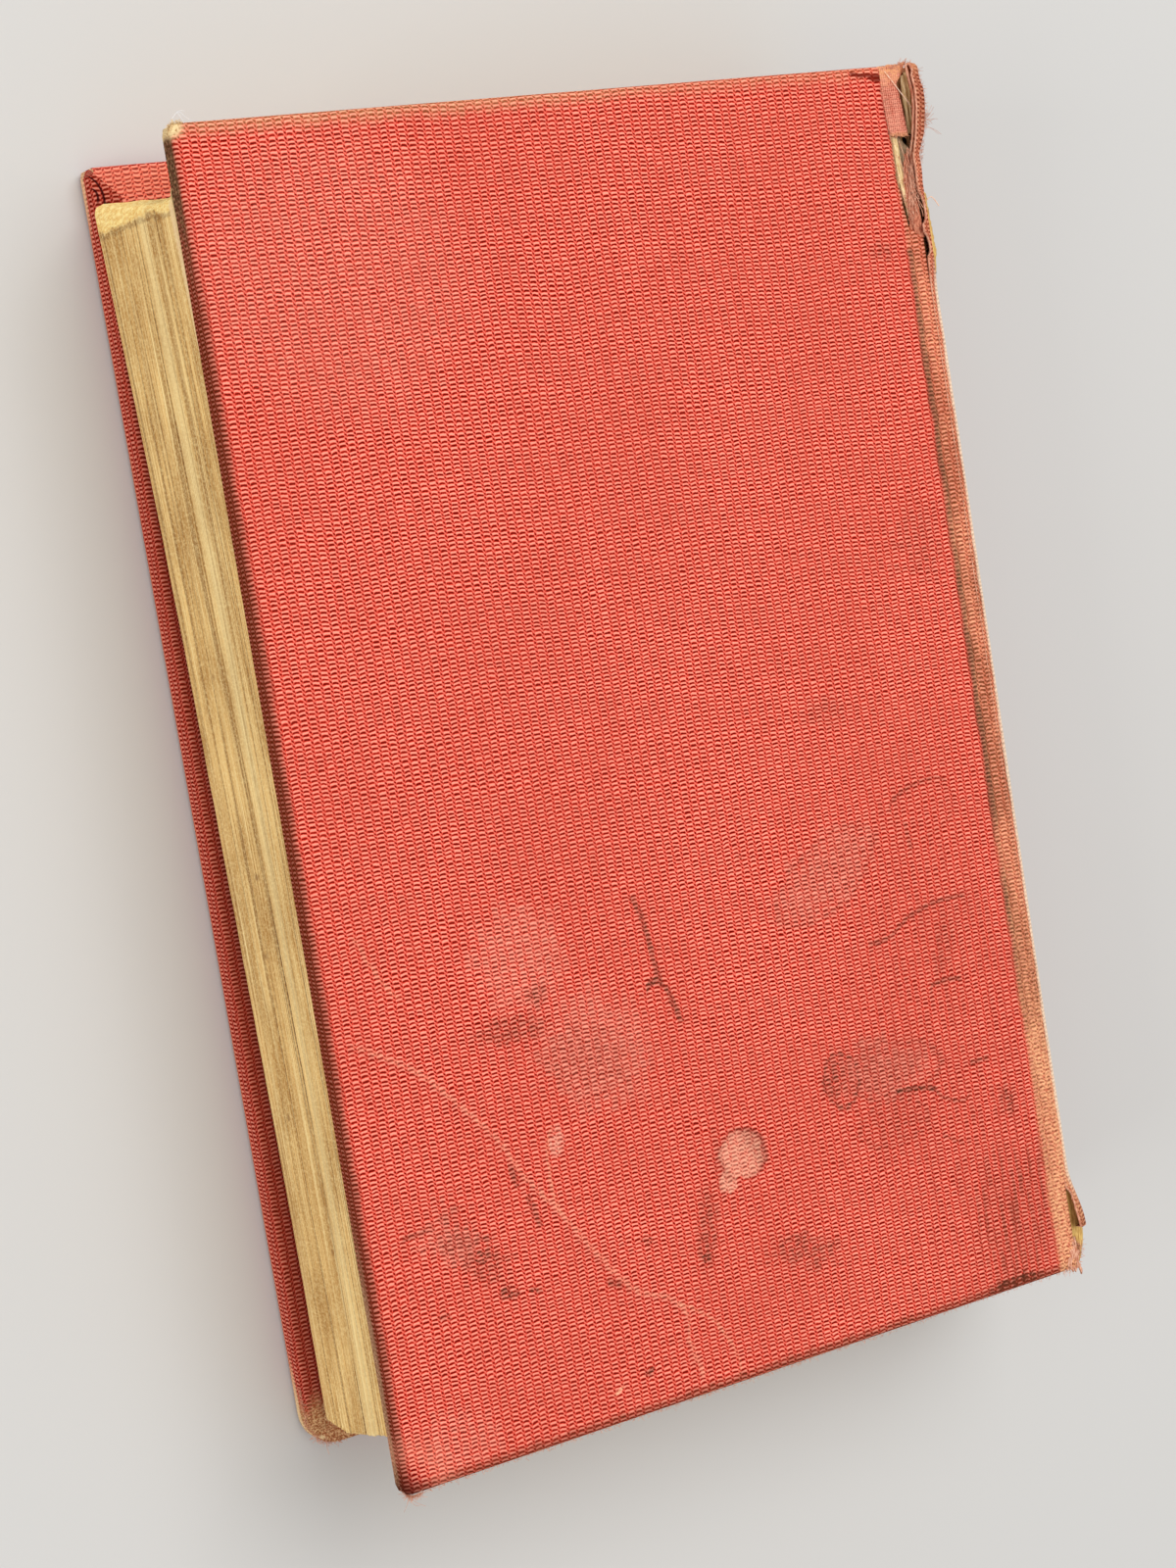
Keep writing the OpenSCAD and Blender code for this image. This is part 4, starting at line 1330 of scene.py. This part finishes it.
def makePages():
    bm = bmesh.new()
    layers = bm.verts.layers.float_vector
    base, facing = layers.new("base"), layers.new("facing")
    half = book["middle"] - book["leafZ"]
    swollen = book["middle"] - book["sectionsIn"]
    across = lineSpots(0, 1, 0.09, 0.012, [0, 1])
    down = lineSpots(0, 1, 0.012, 0.002, [0, 1])
    gridOn(bm, across, down)
    random.seed(leaves["seed"])
    offsets = []
    for i in range(leaves["bundles"]):
        fold = leaves["fold"] if i % leaves["section"] == 0 else 0.0
        offsets.append(random.uniform(-1, 1) * leaves["loose"] + fold)

    def settle(share, level, bundle):
        # share is the place in the outline, level runs from -1 to 1 through the thickness
        low = book["pageTail"] - between(level, leaves["tailSkew"])
        high = book["pageHead"] - between(level, leaves["headSkew"])
        y = low + share.y * (high - low)
        rise = half * level
        end = backEdge(swollen * level)
        start = recess(y) - 0.45 * (1 - level) / 2
        x = start + share.x * (end - start)
        radius = leaves["corner"]
        px = (start + radius - x) / radius
        py = (y - high + radius) / radius
        out = Vector((0, 0, 0))
        if share.x < 1e-5:
            out.x = -1
        if share.y < 1e-5:
            out = Vector((0, -1, 0))
        if share.y > 1 - 1e-5:
            out = Vector((0, 1, 0))
        if px > 0 and py > 0 and out.length > 0.5:
            out = Vector((-px, py, 0)).normalized()
        if px > 0 and py > 0:
            scale = max(px, py) / math.hypot(px, py)
            x = start + radius - px * scale * radius
            y = high - radius + py * scale * radius
        inward = 0
        if out.length > 0.5:
            wave = 0.26 * drift(level * 4.0, y * 0.012, 2.0) + 0.10 * drift(level * 13.0, y * 0.03, 5.0)
            inward = offsets[bundle] + wave + 0.05 * drift(level * 70, y * 0.25, x * 0.25)
            if out.y > 0.3:
                inward += 0.25 * drift(x * 0.3, level * 9, 4.0) + 0.1
        swell = 1 + (swollen / half - 1) * ease(x, book["boardEnd"] - 0.1, book["hinge"] - 0.2)
        waver = 0.12 * drift(y * 0.02, level * 5.0, 9.0) * (1 - level * level)
        z = book["middle"] + (rise + waver) * swell
        return Vector((x, y, z)) - out * inward

    for vert in bm.verts:
        vert[base] = vert.co.copy()
    lid = bm.faces[:]
    ring = [e for e in bm.edges if e.is_boundary]
    for vert in bm.verts:
        vert.co = settle(vert[base], 1.0, 0)
    # down through the thickness, two rings for each bundle of leaves
    count = leaves["bundles"]
    for i in range(count):
        for inside in (0.12, 0.88):
            level = 1 - 2 * (i + inside) / count
            ring, fresh = grow(bm, ring)
            for vert in fresh:
                vert.co = settle(vert[base], level, i)
    ring, fresh = grow(bm, ring)
    for vert in fresh:
        vert.co = settle(vert[base], -1.0, count - 1)
    # the lowest leaf is a copy of the top one, joined to the last ring
    copied = bmesh.ops.duplicate(bm, geom=lid)["geom"]
    for vert in (g for g in copied if isinstance(g, bmesh.types.BMVert)):
        vert.co = settle(vert[base], -1.0, count - 1)
    bmesh.ops.remove_doubles(bm, verts=bm.verts, dist=0.0015)
    bmesh.ops.recalc_face_normals(bm, faces=bm.faces)
    thing = newObject("sewnPages", bm, [looks["pages"]], smooth=False)
    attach(thing, "text_block")
    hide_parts("text_block")


makePages()
print("pages made")

for node, look in (("front_flyleaf", "endpaper"), ("rear_flyleaf", "endpaper"), ("mull", "mull"),
                   ("spine_lining", "lining"), ("spine_inlay", "card"), ("front_board", "board"),
                   ("front_pastedown", "pastedown"), ("rear_board", "board"),
                   ("rear_pastedown", "endpaper")):
    carried = frame["nodes"][node]
    carried.data.materials.clear()
    carried.data.materials.append(looks[look])

# Floor, light and camera

floorLook = Look("floorLook")
bpy.ops.mesh.primitive_plane_add(size=4.0, location=(0, 0, -0.4 * mm))
floor = bpy.context.object
floor.name = "floor"
floor.data.materials.append(floorLook.finish({"Base Color": (0.62, 0.61, 0.59, 1), "Roughness": 0.8,
                                              "Specular IOR Level": 0.2}))

light = {
    "world": 0.65,
    "keyPower": 8.5,
    "keySize": 0.9,
    "keyFrom": (0.2, 0.5, 1.15),
    "fillPower": 4.2,
    "fillSize": 0.6,
    "fillFrom": (-1.1, -0.1, 0.5),
}


def areaLamp(name, power, size, place):
    lamp = bpy.data.lights.new(name, "AREA")
    lamp.energy = power
    lamp.size = size
    thing = bpy.data.objects.new(name, lamp)
    bpy.context.scene.collection.objects.link(thing)
    thing.location = place
    thing.rotation_euler = (-Vector(place)).to_track_quat("-Z", "Y").to_euler()


areaLamp("keyLamp", light["keyPower"], light["keySize"], light["keyFrom"])
areaLamp("fillLamp", light["fillPower"], light["fillSize"], light["fillFrom"])
world = bpy.data.worlds.new("softRoom")
world.use_nodes = True
world.node_tree.nodes["Background"].inputs[0].default_value = (1.0, 1.0, 1.0, 1)
world.node_tree.nodes["Background"].inputs[1].default_value = light["world"]
bpy.context.scene.world = world

camera = bpy.data.objects.new("camera", bpy.data.cameras.new("camera"))
bpy.context.scene.collection.objects.link(camera)
camera.location = cameraSpot * mm + Vector((cadLow.x, 0, 0))
camera.rotation_euler = [math.radians(a) for a in (-0.0497, -29.4949, -10.614)]
camera.data.lens = 66.6
camera.data.sensor_width = 36
camera.data.clip_start = 0.01
bpy.context.scene.camera = camera
bpy.context.scene.view_settings.view_transform = "Standard"

print("scene ready")
